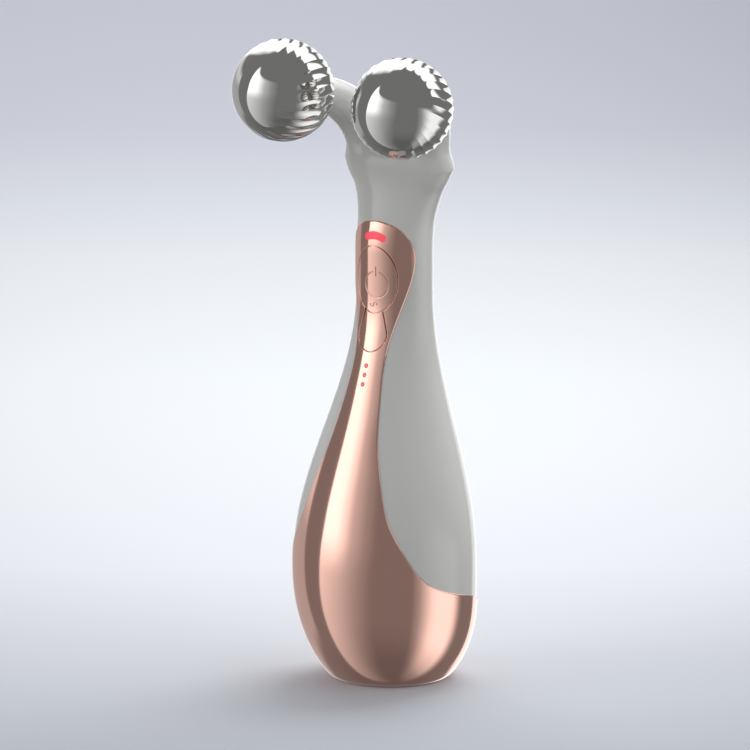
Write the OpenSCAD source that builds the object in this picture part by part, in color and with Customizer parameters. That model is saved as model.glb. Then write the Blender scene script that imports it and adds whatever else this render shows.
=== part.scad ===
// Facial toning device: a pin-shaped handle with a metal-look scoop cover in front,
// two soft-touch keys, a pulsing motor inside and two free-turning massage balls on a
// forked head. The front faces -Y, +Z is up, and the origin is the middle of the base.

/* [Handle] */
// Largest radius of the handle, at the belly
belly_r = 27.5; // [26:0.5:29]
// Height of the belly
belly_z = 36; // [34:1:40]
// How far the belly stands forward of the base
belly_forward = 2.8; // [1.5:0.1:3.5]
// Radius at the ground to which the bowl curves in, before the base is rounded
base_r = 17; // [16.2:0.1:18]
// Radius that rounds the bowl into the base
base_round = 1.9; // [1.2:0.1:2.4]
// Mean radius of the neck
neck_r = 11.5; // [11.2:0.1:12.2]
// Height at which the taper has become the neck
neck_z = 119; // [117:1:120]
// How far the neck stands back of the base
neck_back = 2.5; // [1.5:0.1:3]
// Wall of the white housing
wall = 1.8; // [1.5:0.1:2.1]

/* [Head] */
// Height at which the neck starts to flare
flare_z = 138; // [136:1:140]
// Height of the head's widest ridge
ridge_z = 157; // [155:1:159]
// Half of the head's width at the ridge
ridge_half_w = 19; // [18:0.5:20]
// Half of the head's depth at the ridge
ridge_half_d = 9; // [8:0.5:10]
// How far the head stands back of the base
head_back = 5; // [4:0.5:6]
// Height of the crown above the ridge
crown_h = 9.5; // [8:0.5:11]
// Radius of the two arms
arm_r = 5.2; // [4.8:0.1:5.6]
// Half the distance between the arms' roots
arm_root_x = 11; // [10:0.5:12]

/* [Balls] */
// Radius of a massage ball
ball_r = 15.5; // [14:0.5:16.5]
// Half the distance between the balls' middles
ball_x = 21.8; // [20.5:0.1:24]
// How far the balls' middles stand forward of the base
ball_forward = 24.8; // [23.5:0.1:27]
// Height of the balls' middles
ball_z = 182.2; // [180:0.1:185]
// Outward turn of a ball's axis
ball_splay = 15; // [12:1:18]
// Upward tilt of a ball's axis
ball_tilt = 12; // [9:1:14]
// Wall of a hollow ball
ball_wall = 1.3; // [1:0.1:1.8]
// Radius of the hub that plugs a ball's back
hub_r = 6; // [5.5:0.1:6.5]
// Radius of an axle
axle_r = 2; // [1.8:0.1:2.3]
// Radial running clearance of an axle in its bush
axle_run = 0.05; // [0.03:0.01:0.08]

/* [Cover] */
// Wall of the front cover
cover_wall = 1.2; // [1:0.1:1.5]
// How far the cover stands proud of the housing
cover_proud = 0.4; // [0.3:0.05:0.6]
// Gap between the cover's edge and the housing
seam_gap = 0.15; // [0.1:0.05:0.25]
// Height of the cup's rim at the back
rim_z = 21; // [18:1:24]
// Height at which the tongue is narrowest
tongue_z = 90; // [86:1:92]
// Half angle of the tongue at its narrowest
tongue_deg = 23; // [21:1:26]
// Height of the cover's widest place on the neck
oval_z = 129.5; // [128:0.5:131]
// Half angle of the cover on the neck
oval_deg = 61; // [56:1:64]
// Height of the cover's top
cover_top_z = 141; // [140:0.5:142]

/* [Keys] */
// Height of the power key's middle
power_z = 123.6; // [123:0.2:124.6]
// Half width of the power key
power_half_w = 7.2; // [6.6:0.1:7.6]
// Half height of the power key
power_half_h = 10.2; // [9.6:0.1:10.6]
// Height of the mode key's middle
mode_z = 106.9; // [106:0.1:107.8]
// Radius of the mode key's lower end
mode_r = 4.9; // [4.5:0.1:5.2]
// Travel of both keys
key_travel = 0.5; // [0.3:0.05:0.6]
// Gap round the keys
key_gap = 0.25; // [0.2:0.05:0.35]
// Height of the lowest level light
level_z = 92.4; // [91:0.1:94]
// Distance between level lights
level_pitch = 2.7; // [2.4:0.1:3]
// Radius of a level light
level_r = 0.65; // [0.5:0.05:0.8]
// Height of the status window's middle
window_z = 137.1; // [136.6:0.1:137.4]

/* [Inside] */
// Radius of the battery
battery_r = 7; // [6:0.5:7.5]
// Length of the battery
battery_len = 50; // [44:1:52]
// Radius of the motor can
motor_r = 3; // [2.5:0.1:3.2]
// Length of the motor can
motor_len = 14; // [12:1:15]
// Thickness of the circuit board
board_t = 1; // [0.8:0.1:1.2]
// Thickness of the inner frame's plate
frame_t = 1.6; // [1.4:0.1:2]
// Thickness of the rubber foot
foot_t = 0.8; // [0.6:0.1:1]

/* [Hidden] */
$fn = 48;

// ---------------------------------------------------------------- the handle's form
ring_n = 36; // points round a ring of the handle
bowl_power = 2.6; // fullness of the bowl
bowl_depth = belly_z / pow(1 - pow(base_r / belly_r, 2), 1 / bowl_power);
taper_r = belly_r - neck_r; // what the taper takes off the belly
flat_start = 92; // the section turns from round to oval above this height
flat_wide = 0.045; // share by which the oval neck is wider than it is round
flat_thin = 0.085; // and by which it is thinner
flare_power = 1.8;
sway_z = neck_z + 12; // above this height the neck leans back into the head
sway_h = 22;

// 0 to 1 with level ends
function ease(t) = let (u = min(1, max(0, t))) (1 - cos(180 * u)) / 2;

function mean_r(z) = z < belly_z
    ? belly_r * sqrt(1 - pow((belly_z - z) / bowl_depth, bowl_power))
      - (z < base_round ? base_round - sqrt(base_round * base_round - pow(base_round - z, 2)) : 0)
    : neck_r + taper_r * (1 - ease((z - belly_z) / (neck_z - belly_z)));
function flatness(z) = ease((z - flat_start) / (neck_z - flat_start));
function flare(z) = min(1, max(0, (z - flare_z) / (ridge_z - flare_z)));
function crown(z) = z <= ridge_z ? 1 : sqrt(max(0.01, 1 - pow((z - ridge_z) / crown_h, 2)));

neck_half_w = neck_r * (1 + flat_wide);
neck_half_d = neck_r * (1 - flat_thin);

// Half width and half depth of the section at height z, and its middle in Y
function half_w(z) = (mean_r(z) * (1 + flat_wide * flatness(z))
    + (ridge_half_w - neck_half_w) * pow(flare(z), flare_power)) * crown(z);
function half_d(z) = (mean_r(z) * (1 - flat_thin * flatness(z))
    + (ridge_half_d - neck_half_d) * ease(flare(z))) * crown(z);
function middle_y(z) = z < belly_z ? -belly_forward * ease(z / belly_z)
    : -belly_forward + (belly_forward + neck_back) * ease((z - belly_z) / (neck_z - belly_z))
      + (head_back - neck_back) * ease((z - sway_z) / sway_h);

// A point of the skin at angle t from the front, set out (or in, where negative) by off
function skin_point(t, z, off) = [
    (half_w(z) + off) * sin(t),
    middle_y(z) - (half_d(z) + off) * cos(t),
    z];
// Y of the front skin at a given X
function front_y(x, z, off) = middle_y(z)
    - (half_d(z) + off) * sqrt(max(0, 1 - pow(x / (half_w(z) + off), 2)));

foot_gap = 0.3; // the cup's edge stays this far off the ground
cavity_top = ridge_z - 8;
crown_top = ridge_z + crown_h;

// Heights of the rings: close where the form bends, wide apart elsewhere
levels = concat(
    [foot_gap, base_round / 2, base_round, 4, 7.5],
    [for (i = [0 : 4]) 12 + (belly_z - 12) * i / 5],
    [for (i = [0 : 11]) belly_z + (neck_z - belly_z) * i / 11],
    [for (i = [1 : 3]) neck_z + (flare_z - neck_z) * i / 3],
    [for (i = [1 : 5]) flare_z + (ridge_z - flare_z) * pow(i / 5, 0.8)],
    [for (i = [1 : 4]) ridge_z + crown_h * sin(22.5 * i)]);

module body_solid(off, low, high) {
    zs = concat([low], [for (z = levels) if (z > low + 0.2 && z < high - 0.2) z], [high]);
    rows = len(zs);
    points = [for (z = zs) for (j = [0 : ring_n - 1]) skin_point(360 * j / ring_n, z, off)];
    sides = [for (i = [0 : rows - 2]) for (j = [0 : ring_n - 1]) let (k = (j + 1) % ring_n)
        [i * ring_n + j, (i + 1) * ring_n + j, (i + 1) * ring_n + k, i * ring_n + k]];
    bottom = [for (j = [0 : ring_n - 1]) j];
    top = [for (j = [ring_n - 1 : -1 : 0]) (rows - 1) * ring_n + j];
    polyhedron(points, concat(sides, [bottom, top]));
}

// ---------------------------------------------------------------- the cover's edge
// Lower edge: half angle, and share of the height from the rim to the tongue
flare_knots = [
    [180, 0], [126, 0.045], [108, 0.084], [74, 0.152], [59, 0.217], [46, 0.345],
    [36, 0.475], [29.5, 0.65], [24.6, 0.81]];
flank_power = 0.8;
edge_steps = 2; // points between two knots
knots = concat(
    [for (k = flare_knots) [k[0], rim_z + k[1] * (tongue_z - rim_z)]],
    [[tongue_deg, tongue_z], [tongue_deg, tongue_z + 7]],
    [for (i = [1 : 6]) let (z = tongue_z + 7 + (oval_z - tongue_z - 7) * i / 7)
        [oval_deg - (oval_deg - tongue_deg)
            * ease(pow((oval_z - z) / (oval_z - tongue_z - 7), flank_power)), z]],
    [for (a = [0 : 15 : 90]) [oval_deg * cos(a), oval_z + (cover_top_z - oval_z) * sin(a)]]);

function knot(i) = i < 0 ? [360 - knots[-i][0], knots[-i][1]]
    : i >= len(knots) ? [-knots[2 * len(knots) - 2 - i][0], knots[2 * len(knots) - 2 - i][1]]
    : knots[i];
// The edge as one smooth curve through the knots: [half angle, height] at s
function edge(s) = let (i = min(len(knots) - 2, floor(s)), t = s - i,
    a = knot(i - 1), b = knot(i), c = knot(i + 1), d = knot(i + 2))
    (2 * b + (c - a) * t + (2 * a - 5 * b + 4 * c - d) * t * t
        + (3 * b - a - 3 * c + d) * t * t * t) / 2;
// The same edge moved outwards by out millimetres along the skin
function edge_out(s, out) = let (
    p = edge(s), f = edge(min(len(knots) - 1, s + 0.05)), g = edge(max(0, s - 0.05)),
    deg = 180 / PI / mean_r(p[1]),
    du = (f[0] - g[0]) / deg, dz = f[1] - g[1], n = norm([du, dz]))
    [max(1, min(179.9, p[0] + out * deg * dz / n)), p[1] - out * du / n];

// All that lies under the cover, with its edge moved outwards by out
module cover_region(out) {
    last = (len(knots) - 1) * edge_steps;
    fan = 10;
    reach = belly_r + 12;
    rows = [for (i = [0 : last]) edge_out(i / edge_steps, out)];
    w = fan + 1;
    axis = w * len(rows);
    points = concat(
        [for (p = rows) for (j = [0 : fan]) let (t = p[0] * (2 * j / fan - 1))
            [reach * sin(t), middle_y(p[1]) - reach * cos(t), p[1]]],
        [for (p = rows) [0, middle_y(p[1]), p[1]]]);
    polyhedron(points, concat(
        [for (i = [0 : last - 1]) for (j = [0 : fan - 1])
            [i * w + j, (i + 1) * w + j, (i + 1) * w + j + 1, i * w + j + 1]],
        [for (i = [0 : last - 1]) [i * w, axis + i, axis + i + 1, (i + 1) * w]],
        [for (i = [0 : last - 1]) [i * w + fan, (i + 1) * w + fan, axis + i + 1, axis + i]],
        [for (j = [0 : fan - 1]) [axis, j, j + 1]],
        [for (j = [0 : fan - 1]) [axis + last, last * w + j + 1, last * w + j]]));
    translate([-reach, -reach, -1]) cube([2 * reach, 2 * reach, rim_z + out + 1.001]);
}

// ---------------------------------------------------------------- outlines on the front
function oval_outline(rx, ry, z) = [for (i = [0 : 47])
    [rx * sin(7.5 * i), z + ry * cos(7.5 * i)]];
power_outline = oval_outline(power_half_w, power_half_h, power_z);

mode_neck_x = 3; // half width of the mode key where it meets the power key
mode_shoulder = 8; // the mode key's sides leave its round end at this angle above the middle
function power_low(x) = power_z - (power_half_h + key_gap)
    * sqrt(1 - pow(x / (power_half_w + key_gap), 2));
mode_outline = concat(
    [for (i = [0 : 28]) let (a = mode_shoulder - i * (180 + 2 * mode_shoulder) / 28)
        [mode_r * cos(a), mode_z + mode_r * sin(a)]],
    [for (i = [0 : 12]) let (x = mode_neck_x * (i / 6 - 1)) [x, power_low(x) - 0.02]]);

window_half_w = 3.9;
window_half_h = 1.3;
window_sag = 1.4; // the window's ends hang this far below its middle
window_outline = concat(
    [for (i = [0 : 12]) let (x = (i / 6 - 1) * (window_half_w - window_half_h))
        [x, window_z + window_half_h - window_sag * pow(x / window_half_w, 2)]],
    [for (i = [1 : 7]) let (x = window_half_w - window_half_h)
        [x + window_half_h * sin(22.5 * i), window_z + window_half_h * cos(22.5 * i)
            - window_sag * pow(x / window_half_w, 2)]],
    [for (i = [12 : -1 : 0]) let (x = (i / 6 - 1) * (window_half_w - window_half_h))
        [x, window_z - window_half_h - window_sag * pow(x / window_half_w, 2)]],
    [for (i = [1 : 7]) let (x = window_half_w - window_half_h)
        [-x - window_half_h * sin(22.5 * i), window_z - window_half_h * cos(22.5 * i)
            - window_sag * pow(x / window_half_w, 2)]]);

// A prism from the handle's middle out through the front
module through_front(outline, grow) {
    reach = belly_r + 12;
    rotate([90, 0, 0]) linear_extrude(reach) offset(delta = grow) polygon(outline);
}

// A curved tile that follows the skin over an outline, from off_in to off_out
module skin_tile(outline, off_in, off_out) {
    n = len(outline);
    rings = 3;
    mid = [0, (min([for (p = outline) p[1]]) + max([for (p = outline) p[1]])) / 2];
    // outline points, shrinking to the middle
    flat = concat([for (r = [0 : rings - 1]) for (p = outline) mid + (p - mid) * (1 - r / rings)],
        [mid]);
    m = len(flat);
    points = concat([for (p = flat) [p[0], front_y(p[0], p[1], off_out), p[1]]],
        [for (p = flat) [p[0], front_y(p[0], p[1], off_in), p[1]]]);
    polyhedron(points, concat(
        [for (r = [0 : rings - 2]) for (j = [0 : n - 1]) let (k = (j + 1) % n)
            [r * n + j, r * n + k, (r + 1) * n + k, (r + 1) * n + j]],
        [for (j = [0 : n - 1]) let (k = (j + 1) % n, r = rings - 1) [r * n + j, r * n + k, m - 1]],
        [for (r = [0 : rings - 2]) for (j = [0 : n - 1]) let (k = (j + 1) % n)
            [m + r * n + k, m + r * n + j, m + (r + 1) * n + j, m + (r + 1) * n + k]],
        [for (j = [0 : n - 1]) let (k = (j + 1) % n, r = rings - 1)
            [m + r * n + k, m + r * n + j, 2 * m - 1]],
        [for (j = [0 : n - 1]) let (k = (j + 1) % n) [j, m + j, m + k, k]]));
}

// ---------------------------------------------------------------- front cover
cap_t = 2.2; // thickness of the base cap
cap_seat_z = foot_t + cap_t;
cup_ribs = 8;
rib_turn = 20; // degrees from the front to the first rib

module cup_rib(angle) {
    tip_r = base_cap_r - 1.6;
    rib_h = 6;
    foot_r = mean_r(cap_seat_z) + cover_proud - cover_wall;
    top_r = mean_r(cap_seat_z + rib_h) + cover_proud - cover_wall;
    translate([0, middle_y(cap_seat_z + rib_h) / 2, cap_seat_z + 0.1]) rotate([0, 0, angle])
        translate([0, 0.6, 0]) rotate([90, 0, 0]) linear_extrude(1.2) hull() {
            translate([tip_r, 0]) square([0.6, 0.8]);
            translate([foot_r - 0.4, 0]) square([0.8, 0.8]);
            translate([top_r - 0.3, rib_h - 0.8]) square([0.6, 0.8]);
        }
}

module front_cover() color("rosybrown") {
    difference() {
        intersection() {
            difference() {
                body_solid(cover_proud, foot_gap, cover_top_z + 2);
                body_solid(cover_proud - cover_wall, foot_gap - 0.1, cover_top_z + 3);
            }
            cover_region(0);
        }
        through_front(power_outline, key_gap);
        through_front(mode_outline, key_gap);
        through_front(window_outline, fit);
        for (i = [0 : 2]) translate([0, 0, level_z + i * level_pitch])
            rotate([90, 0, 0]) cylinder(r = level_r + fit, h = belly_r, $fn = 24);
    }
    for (i = [0 : cup_ribs - 1]) cup_rib(rib_turn + 360 * i / cup_ribs);
}

// ---------------------------------------------------------------- housing and arms
// Everything round a ball is made about the ball's own axis, pole up, then set in place
module at_ball(side) {
    translate([side * ball_x, -ball_forward, ball_z])
        rotate([90 - ball_tilt, 0, side * ball_splay]) children();
}
ball_axis = [sin(ball_splay) * cos(ball_tilt), -cos(ball_splay) * cos(ball_tilt), sin(ball_tilt)];
ball_mid = [ball_x, -ball_forward, ball_z];

arm_end = ball_r - 0.3; // the arm stops this far behind the ball's middle
arm_bezier = [
    [arm_root_x, head_back - 0.6, ridge_z - 1],
    [arm_root_x + 0.6, head_back - 0.2, ridge_z + 12],
    ball_mid - ball_axis * (arm_end + 12),
    ball_mid - ball_axis * arm_end];
function bezier(p, t) = p[0] * pow(1 - t, 3) + p[1] * 3 * t * pow(1 - t, 2)
    + p[2] * 3 * t * t * (1 - t) + p[3] * pow(t, 3);
arm_steps = 13;
arm_sides = 24;

// A ring of points round the arm's curve at t, square to the curve
function arm_ring(t) = let (p = bezier(arm_bezier, t),
    d = bezier(arm_bezier, t + 0.001) - bezier(arm_bezier, t - 0.001),
    u = cross([1, 0, 0], d) / norm(cross([1, 0, 0], d)), v = cross(d, u) / norm(d))
    [for (j = [0 : arm_sides - 1]) let (a = 360 * j / arm_sides)
        p + arm_r * (u * cos(a) + v * sin(a))];

module arm() {
    n = arm_sides;
    polyhedron([for (i = [0 : arm_steps]) each arm_ring(i / arm_steps)], concat(
        [for (i = [0 : arm_steps - 1]) for (j = [0 : n - 1]) let (k = (j + 1) % n)
            [i * n + j, (i + 1) * n + j, (i + 1) * n + k, i * n + k]],
        [[for (j = [0 : n - 1]) j], [for (j = [n - 1 : -1 : 0]) arm_steps * n + j]]));
}

axle_seat = 6; // how deep an axle sits in its arm
seat_turn = 4; // degrees that set the seat's corners off the arm's
boss_r = 2.4;
boss_x = 0.38 * belly_r;
boss_rib = 3; // a boss's ribs stand out this far at the wall
rib_start = 8.5; // and start this far along it
rib_w = 1.1;
screw_r = 0.95;
board_screw_r = 0.7;
fit = 0.05; // radial room of a fixed piece in its seat
hole_room = 0.2; // radial room of a screw in a hole that it passes through
lap_in = cover_proud - cover_wall - 0.15; // the lap runs under the cover with this clearance
lap_wide = 1.2;
lap_deep = 0.65; // the lap thickens the wall inwards by this much
lip_clear = 0.35; // room round the keys' lips

// A screw boss along +Z, with ribs away from the battery
module boss() {
    cylinder(r = boss_r, h = belly_r, $fn = 24);
    for (a = [-90 : 60 : 90]) rotate([0, 0, a]) hull() {
        translate([0, -rib_w / 2, rib_start])
            cube([boss_r + 0.3, rib_w, belly_r - rib_start]);
        translate([0, -rib_w / 2, rib_start + boss_rib])
            cube([boss_r + boss_rib, rib_w, belly_r - rib_start - boss_rib]);
    }
}

module housing(side) color("whitesmoke") intersection() {
    translate([side > 0 ? 0 : -60, -60, -1]) cube([60, 120, 260]);
    difference() {
        union() {
            difference() {
                body_solid(0, rim_z - 1, crown_top - 0.02);
                body_solid(-wall, rim_z - 2, cavity_top);
                cover_region(seam_gap);
            }
            difference() {
                intersection() {
                    body_solid(lap_in, rim_z - 5, cavity_top - 1);
                    cover_region(1.5);
                }
                body_solid(-wall - lap_deep, rim_z - 6, cavity_top);
                cover_region(-lap_wide);
            }
            scale([side, 1, 1]) arm();
            for (z = boss_heights) intersection() {
                translate([side * boss_x, frame_back + 0.1, z]) rotate([-90, 0, 0])
                    scale([side, 1, 1]) boss();
                body_solid(-0.5, rim_z - 1, ridge_z);
            }
        }
        through_front(power_lip_outline, lip_clear);
        through_front(mode_lip_outline, lip_clear);
        for (z = boss_heights) translate([side * boss_x, 0, z]) rotate([-90, 0, 0])
            cylinder(r = screw_r + fit, h = screw_len + 0.7, $fn = 24);
        at_ball(side) translate([0, 0, -arm_end - axle_seat - 0.1]) rotate(seat_turn)
            cylinder(r = axle_r + fit, h = axle_seat + 1);
    }
}
module left_housing() housing(-1);
module right_housing() housing(1);

// ---------------------------------------------------------------- base
cap_room = 0.35; // the cap fits in the cup with this room all round
base_cap_r = mean_r(foot_gap) + cover_proud - cover_wall - cap_room;
foot_r = base_cap_r - 0.9;
base_screw_x = 0.53 * base_cap_r;
base_screw_z = foot_t + 0.5 * cap_t; // under the heads of the base screws
head_r = 1.9;
head_h = 0.8;
socket_y = 0.46 * base_cap_r; // the charging socket sits this far back
socket_w = 9.2;
socket_h = 3.4;
socket_depth = 7.5;
socket_wall = 0.3;
tongue_half_w = 3.2;
tongue_t = 0.7;

// The socket's outline, grown all round by grow
function socket_outline(grow) = let (r = socket_h / 2 + grow, x = (socket_w - socket_h) / 2)
    concat([for (a = [-90 : 15 : 90]) [x + r * cos(a), socket_y + r * sin(a)]],
        [for (a = [90 : 15 : 270]) [-x + r * cos(a), socket_y + r * sin(a)]]);

module base_cap() color("dimgray") difference() {
    translate([0, 0, foot_t]) cylinder(r = base_cap_r, h = cap_t);
    translate([0, 0, -1]) linear_extrude(cap_seat_z + 2) polygon(socket_outline(fit));
    for (s = [-1, 1]) translate([s * base_screw_x, 0, 0]) {
        cylinder(r = screw_r + hole_room, h = cap_seat_z + 1);
        cylinder(r = head_r + hole_room, h = base_screw_z);
    }
}

module foot_pad() color("black") difference() {
    cylinder(r = foot_r, h = foot_t);
    translate([0, 0, -1]) linear_extrude(foot_t + 2) polygon(socket_outline(0.8));
}

module charge_socket() color("silver") {
    translate([0, 0, foot_t + 0.2]) difference() {
        linear_extrude(socket_depth) polygon(socket_outline(0));
        translate([0, 0, -1]) linear_extrude(socket_depth) polygon(socket_outline(-socket_wall));
    }
    translate([-tongue_half_w, socket_y - tongue_t / 2, foot_t + 1.2])
        cube([2 * tongue_half_w, tongue_t, socket_depth - 1.5]);
}

// A screw along +Z, with the underside of its head at z = 0
module screw(len) {
    translate([0, 0, -head_h / 2]) cylinder(r = screw_r, h = len + head_h / 2);
    translate([0, 0, -head_h]) difference() {
        cylinder(r = head_r, h = head_h);
        for (a = [0, 90]) rotate([0, 0, a]) translate([-0.9, -0.2, -0.1])
            cube([1.8, 0.4, head_h / 2 + 0.1]);
    }
}

base_screw_len = 8;
module base_screws() color("silver") for (s = [-1, 1])
    translate([s * base_screw_x, 0, base_screw_z]) screw(base_screw_len);

// ---------------------------------------------------------------- inner frame
frame_y = 0.6; // front face of the frame's plate
frame_z = cap_seat_z + 0.05;
frame_base_r = base_cap_r - 2.2;
frame_half_w = 0.49 * belly_r;
frame_neck_half_w = 0.555 * neck_r;
frame_shoulder_z = belly_z + 0.36 * (neck_z - belly_z);
frame_top_z = neck_z + 10;
frame_back = frame_y + frame_t;
screw_len = 0.34 * belly_r; // of the frame's screws, under the head
board_y = frame_y - 1.5; // back face of the circuit board
board_half_w = 0.6 * frame_half_w;
board_neck_half_w = frame_neck_half_w - 1.4;
board_low_z = frame_shoulder_z - 16;
board_posts = [
    [2.2 - board_half_w, board_low_z + 6], [board_half_w - 2.2, board_low_z + 6],
    [0, frame_shoulder_z + 14], [0, frame_top_z + 2]];
cradle_t = 1.4;
pad_t = 0.4;
battery_y = frame_back + pad_t + battery_r;
battery_z = frame_z + 10;
cheek_h = 6;
cheek_heights = [battery_z + 0.12 * battery_len, battery_z + 0.7 * battery_len];
boss_heights = [for (z = cheek_heights) z + cheek_h + boss_r + 1];
sleeve_t = 0.6;
motor_y = frame_back + sleeve_t + motor_r + 0.8;
motor_z = neck_z - 15;

module inner_frame() color("lightgray") {
    difference() {
        union() {
            translate([0, 0, frame_z]) cylinder(r = frame_base_r, h = frame_t);
            for (s = [-1, 1]) translate([s * base_screw_x, 0, frame_z])
                cylinder(r = 2.6, h = base_screw_len);
            // plate
            translate([0, frame_back, 0]) rotate([90, 0, 0]) linear_extrude(frame_t) polygon([
                [-frame_base_r + 1.6, frame_z], [-frame_half_w, frame_z + 12],
                [-frame_half_w, frame_shoulder_z - 4], [-frame_neck_half_w, frame_shoulder_z + 6],
                [-frame_neck_half_w, frame_top_z], [frame_neck_half_w, frame_top_z],
                [frame_neck_half_w, frame_shoulder_z + 6], [frame_half_w, frame_shoulder_z - 4],
                [frame_half_w, frame_z + 12], [frame_base_r - 1.6, frame_z]]);
            // battery shelf and cheeks
            translate([-battery_r, frame_y, battery_z - 1.8])
                cube([2 * battery_r, frame_t + 2 * battery_r, 1.6]);
            for (s = [-1, 1]) for (z = cheek_heights)
                translate([s * (battery_r + 0.2 + cradle_t / 2), (frame_y + battery_y) / 2,
                    z + cheek_h / 2])
                    cube([cradle_t, battery_y - frame_y, cheek_h], center = true);
            // motor cradle
            difference() {
                translate([-motor_r - sleeve_t - cradle_t, frame_y, motor_z + 1])
                    cube([2 * (motor_r + sleeve_t + cradle_t), motor_y - frame_y, motor_len - 2]);
                translate([0, motor_y, motor_z])
                    cylinder(r = motor_r + sleeve_t + fit, h = motor_len);
            }
            for (p = board_posts) if (p[1] < frame_top_z) translate([p[0], frame_y + 0.01, p[1]])
                rotate([90, 0, 0]) cylinder(r = 1.5, h = frame_y - board_y + 0.01);
            // top tab that carries the board's upper end
            translate([-2, frame_y, frame_top_z - 1]) cube([4, frame_t, 6]);
            translate([0, frame_y + 0.01, board_posts[3][1]])
                rotate([90, 0, 0]) cylinder(r = 1.5, h = frame_y - board_y + 0.01);
        }
        translate([0, 0, frame_z - 1]) linear_extrude(socket_depth) polygon(socket_outline(0.3));
        for (s = [-1, 1]) translate([s * base_screw_x, 0, frame_z - 1])
            cylinder(r = screw_r + fit, h = base_screw_len + 2);
        for (s = [-1, 1]) for (z = boss_heights) translate([s * boss_x, frame_y - 1, z])
            rotate([-90, 0, 0]) cylinder(r = screw_r + hole_room, h = frame_t + 2);
        for (p = board_posts) translate([p[0], board_y - 1, p[1]])
            rotate([-90, 0, 0]) cylinder(r = board_screw_r + fit, h = 4);
    }
}

module frame_screws() color("silver") for (s = [-1, 1]) for (z = boss_heights)
    translate([s * boss_x, frame_y, z]) rotate([-90, 0, 0]) screw(screw_len);

module battery() color("steelblue") translate([0, battery_y, battery_z]) {
    cylinder(r = battery_r, h = battery_len - 1);
    cylinder(r = battery_r / 3, h = battery_len);
}

pad_half_w = 0.43 * battery_r;
pad_len = 0.44 * battery_len;
module battery_pad() color("gray")
    translate([-pad_half_w, frame_back, battery_z + (battery_len - pad_len) / 2])
        cube([2 * pad_half_w, pad_t - 0.02, pad_len]);

// ---------------------------------------------------------------- electronics
board_front = board_y - board_t;
board_shoulder_z = frame_shoulder_z + 2;
board_neck_z = board_shoulder_z + 6;
board_top_z = window_z + 2.4;
board_tip_half_w = 0.8 * board_neck_half_w;
lamp_t = 1;
lamp_half_w = 0.8;

module circuit_board() color("darkgreen") difference() {
    translate([0, board_y, 0]) rotate([90, 0, 0]) linear_extrude(board_t) polygon([
        [-board_half_w, board_low_z], [board_half_w, board_low_z],
        [board_half_w, board_shoulder_z], [board_neck_half_w, board_neck_z],
        [board_neck_half_w, frame_top_z - 1], [board_tip_half_w, board_top_z],
        [-board_tip_half_w, board_top_z], [-board_neck_half_w, frame_top_z - 1],
        [-board_neck_half_w, board_neck_z], [-board_half_w, board_shoulder_z]]);
    for (p = board_posts) translate([p[0], board_front - 1, p[1]])
        rotate([-90, 0, 0]) cylinder(r = board_screw_r + hole_room, h = board_t + 2);
}

module board_screws() color("silver") for (p = board_posts)
    translate([p[0], board_front - 0.7, p[1]]) rotate([-90, 0, 0]) {
        cylinder(r = 1.3, h = 0.7);
        cylinder(r = board_screw_r, h = board_t + 2.6);
    }

switch_t = 3;
switch_face = board_front - switch_t;
well_r = 1.5;
stem_r = 1.2;
stem_in = 0.35; // a key's stem reaches this far into its switch at rest

module key_switch(z) color("darkslategray") difference() {
    translate([-3, switch_face, z - 3]) cube([6, switch_t, 6]);
    translate([0, switch_face - 0.1, z]) rotate([-90, 0, 0])
        cylinder(r = well_r, h = stem_in + key_travel + 0.25);
}
module power_switch() key_switch(power_z);
module mode_switch() key_switch(mode_z);

module indicator_lamps() color("gold") {
    for (i = [0 : 2])
        translate([-lamp_half_w, board_front - lamp_t, level_z + i * level_pitch - lamp_half_w])
            cube([2 * lamp_half_w, lamp_t, 2 * lamp_half_w]);
    translate([-2 * lamp_half_w, board_front - lamp_t, window_z - lamp_half_w])
        cube([4 * lamp_half_w, lamp_t, 2 * lamp_half_w]);
}

// A key: curved face, a lip behind the cover that keeps it in, and a stem to its switch
lip_t = 0.6;
lip_gap = 0.25;
module key(outline, lip_outline, z) {
    skin_tile(outline, cover_proud - cover_wall - lip_gap - lip_t / 2, cover_proud);
    skin_tile(lip_outline, cover_proud - cover_wall - lip_gap - lip_t,
        cover_proud - cover_wall - lip_gap);
    tip = switch_face + stem_in;
    face = front_y(0, z, cover_proud - cover_wall - lip_gap - lip_t / 2);
    translate([0, tip, z]) rotate([90, 0, 0]) cylinder(r = stem_r, h = tip - face);
}
power_lip_outline = oval_outline(power_half_w + 0.6, power_half_h, power_z);
lip_grow = (mode_r + 0.45) / mode_r;
mode_lip_outline = [for (p = mode_outline)
    [p[0] * lip_grow, p[1] < mode_z ? mode_z + (p[1] - mode_z) * lip_grow : p[1]]];
module power_key() color("rosybrown") key(power_outline, power_lip_outline, power_z);
module mode_key() color("rosybrown") key(mode_outline, mode_lip_outline, mode_z);

module status_window() color("red") {
    skin_tile(window_outline, cover_proud - cover_wall - 0.6, cover_proud);
    back = board_front - lamp_t - 0.3;
    face = front_y(0, window_z, cover_proud - cover_wall - 0.3);
    translate([-1.5, face, window_z - 0.8]) cube([3, back - face, 1.6]);
}

module level_lenses() color("red") {
    back = board_front - lamp_t - 0.3;
    for (i = [0 : 2]) {
        z = level_z + i * level_pitch;
        translate([0, back, z]) rotate([90, 0, 0])
            cylinder(r = level_r, h = back - front_y(0, z, cover_proud), $fn = 24);
    }
    mid = front_y(0, level_z + 2 * level_pitch, cover_proud - cover_wall);
    translate([-0.9, mid + 0.6, level_z - 0.9]) cube([1.8, 1.4, 2 * level_pitch + 1.8]);
}

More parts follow.
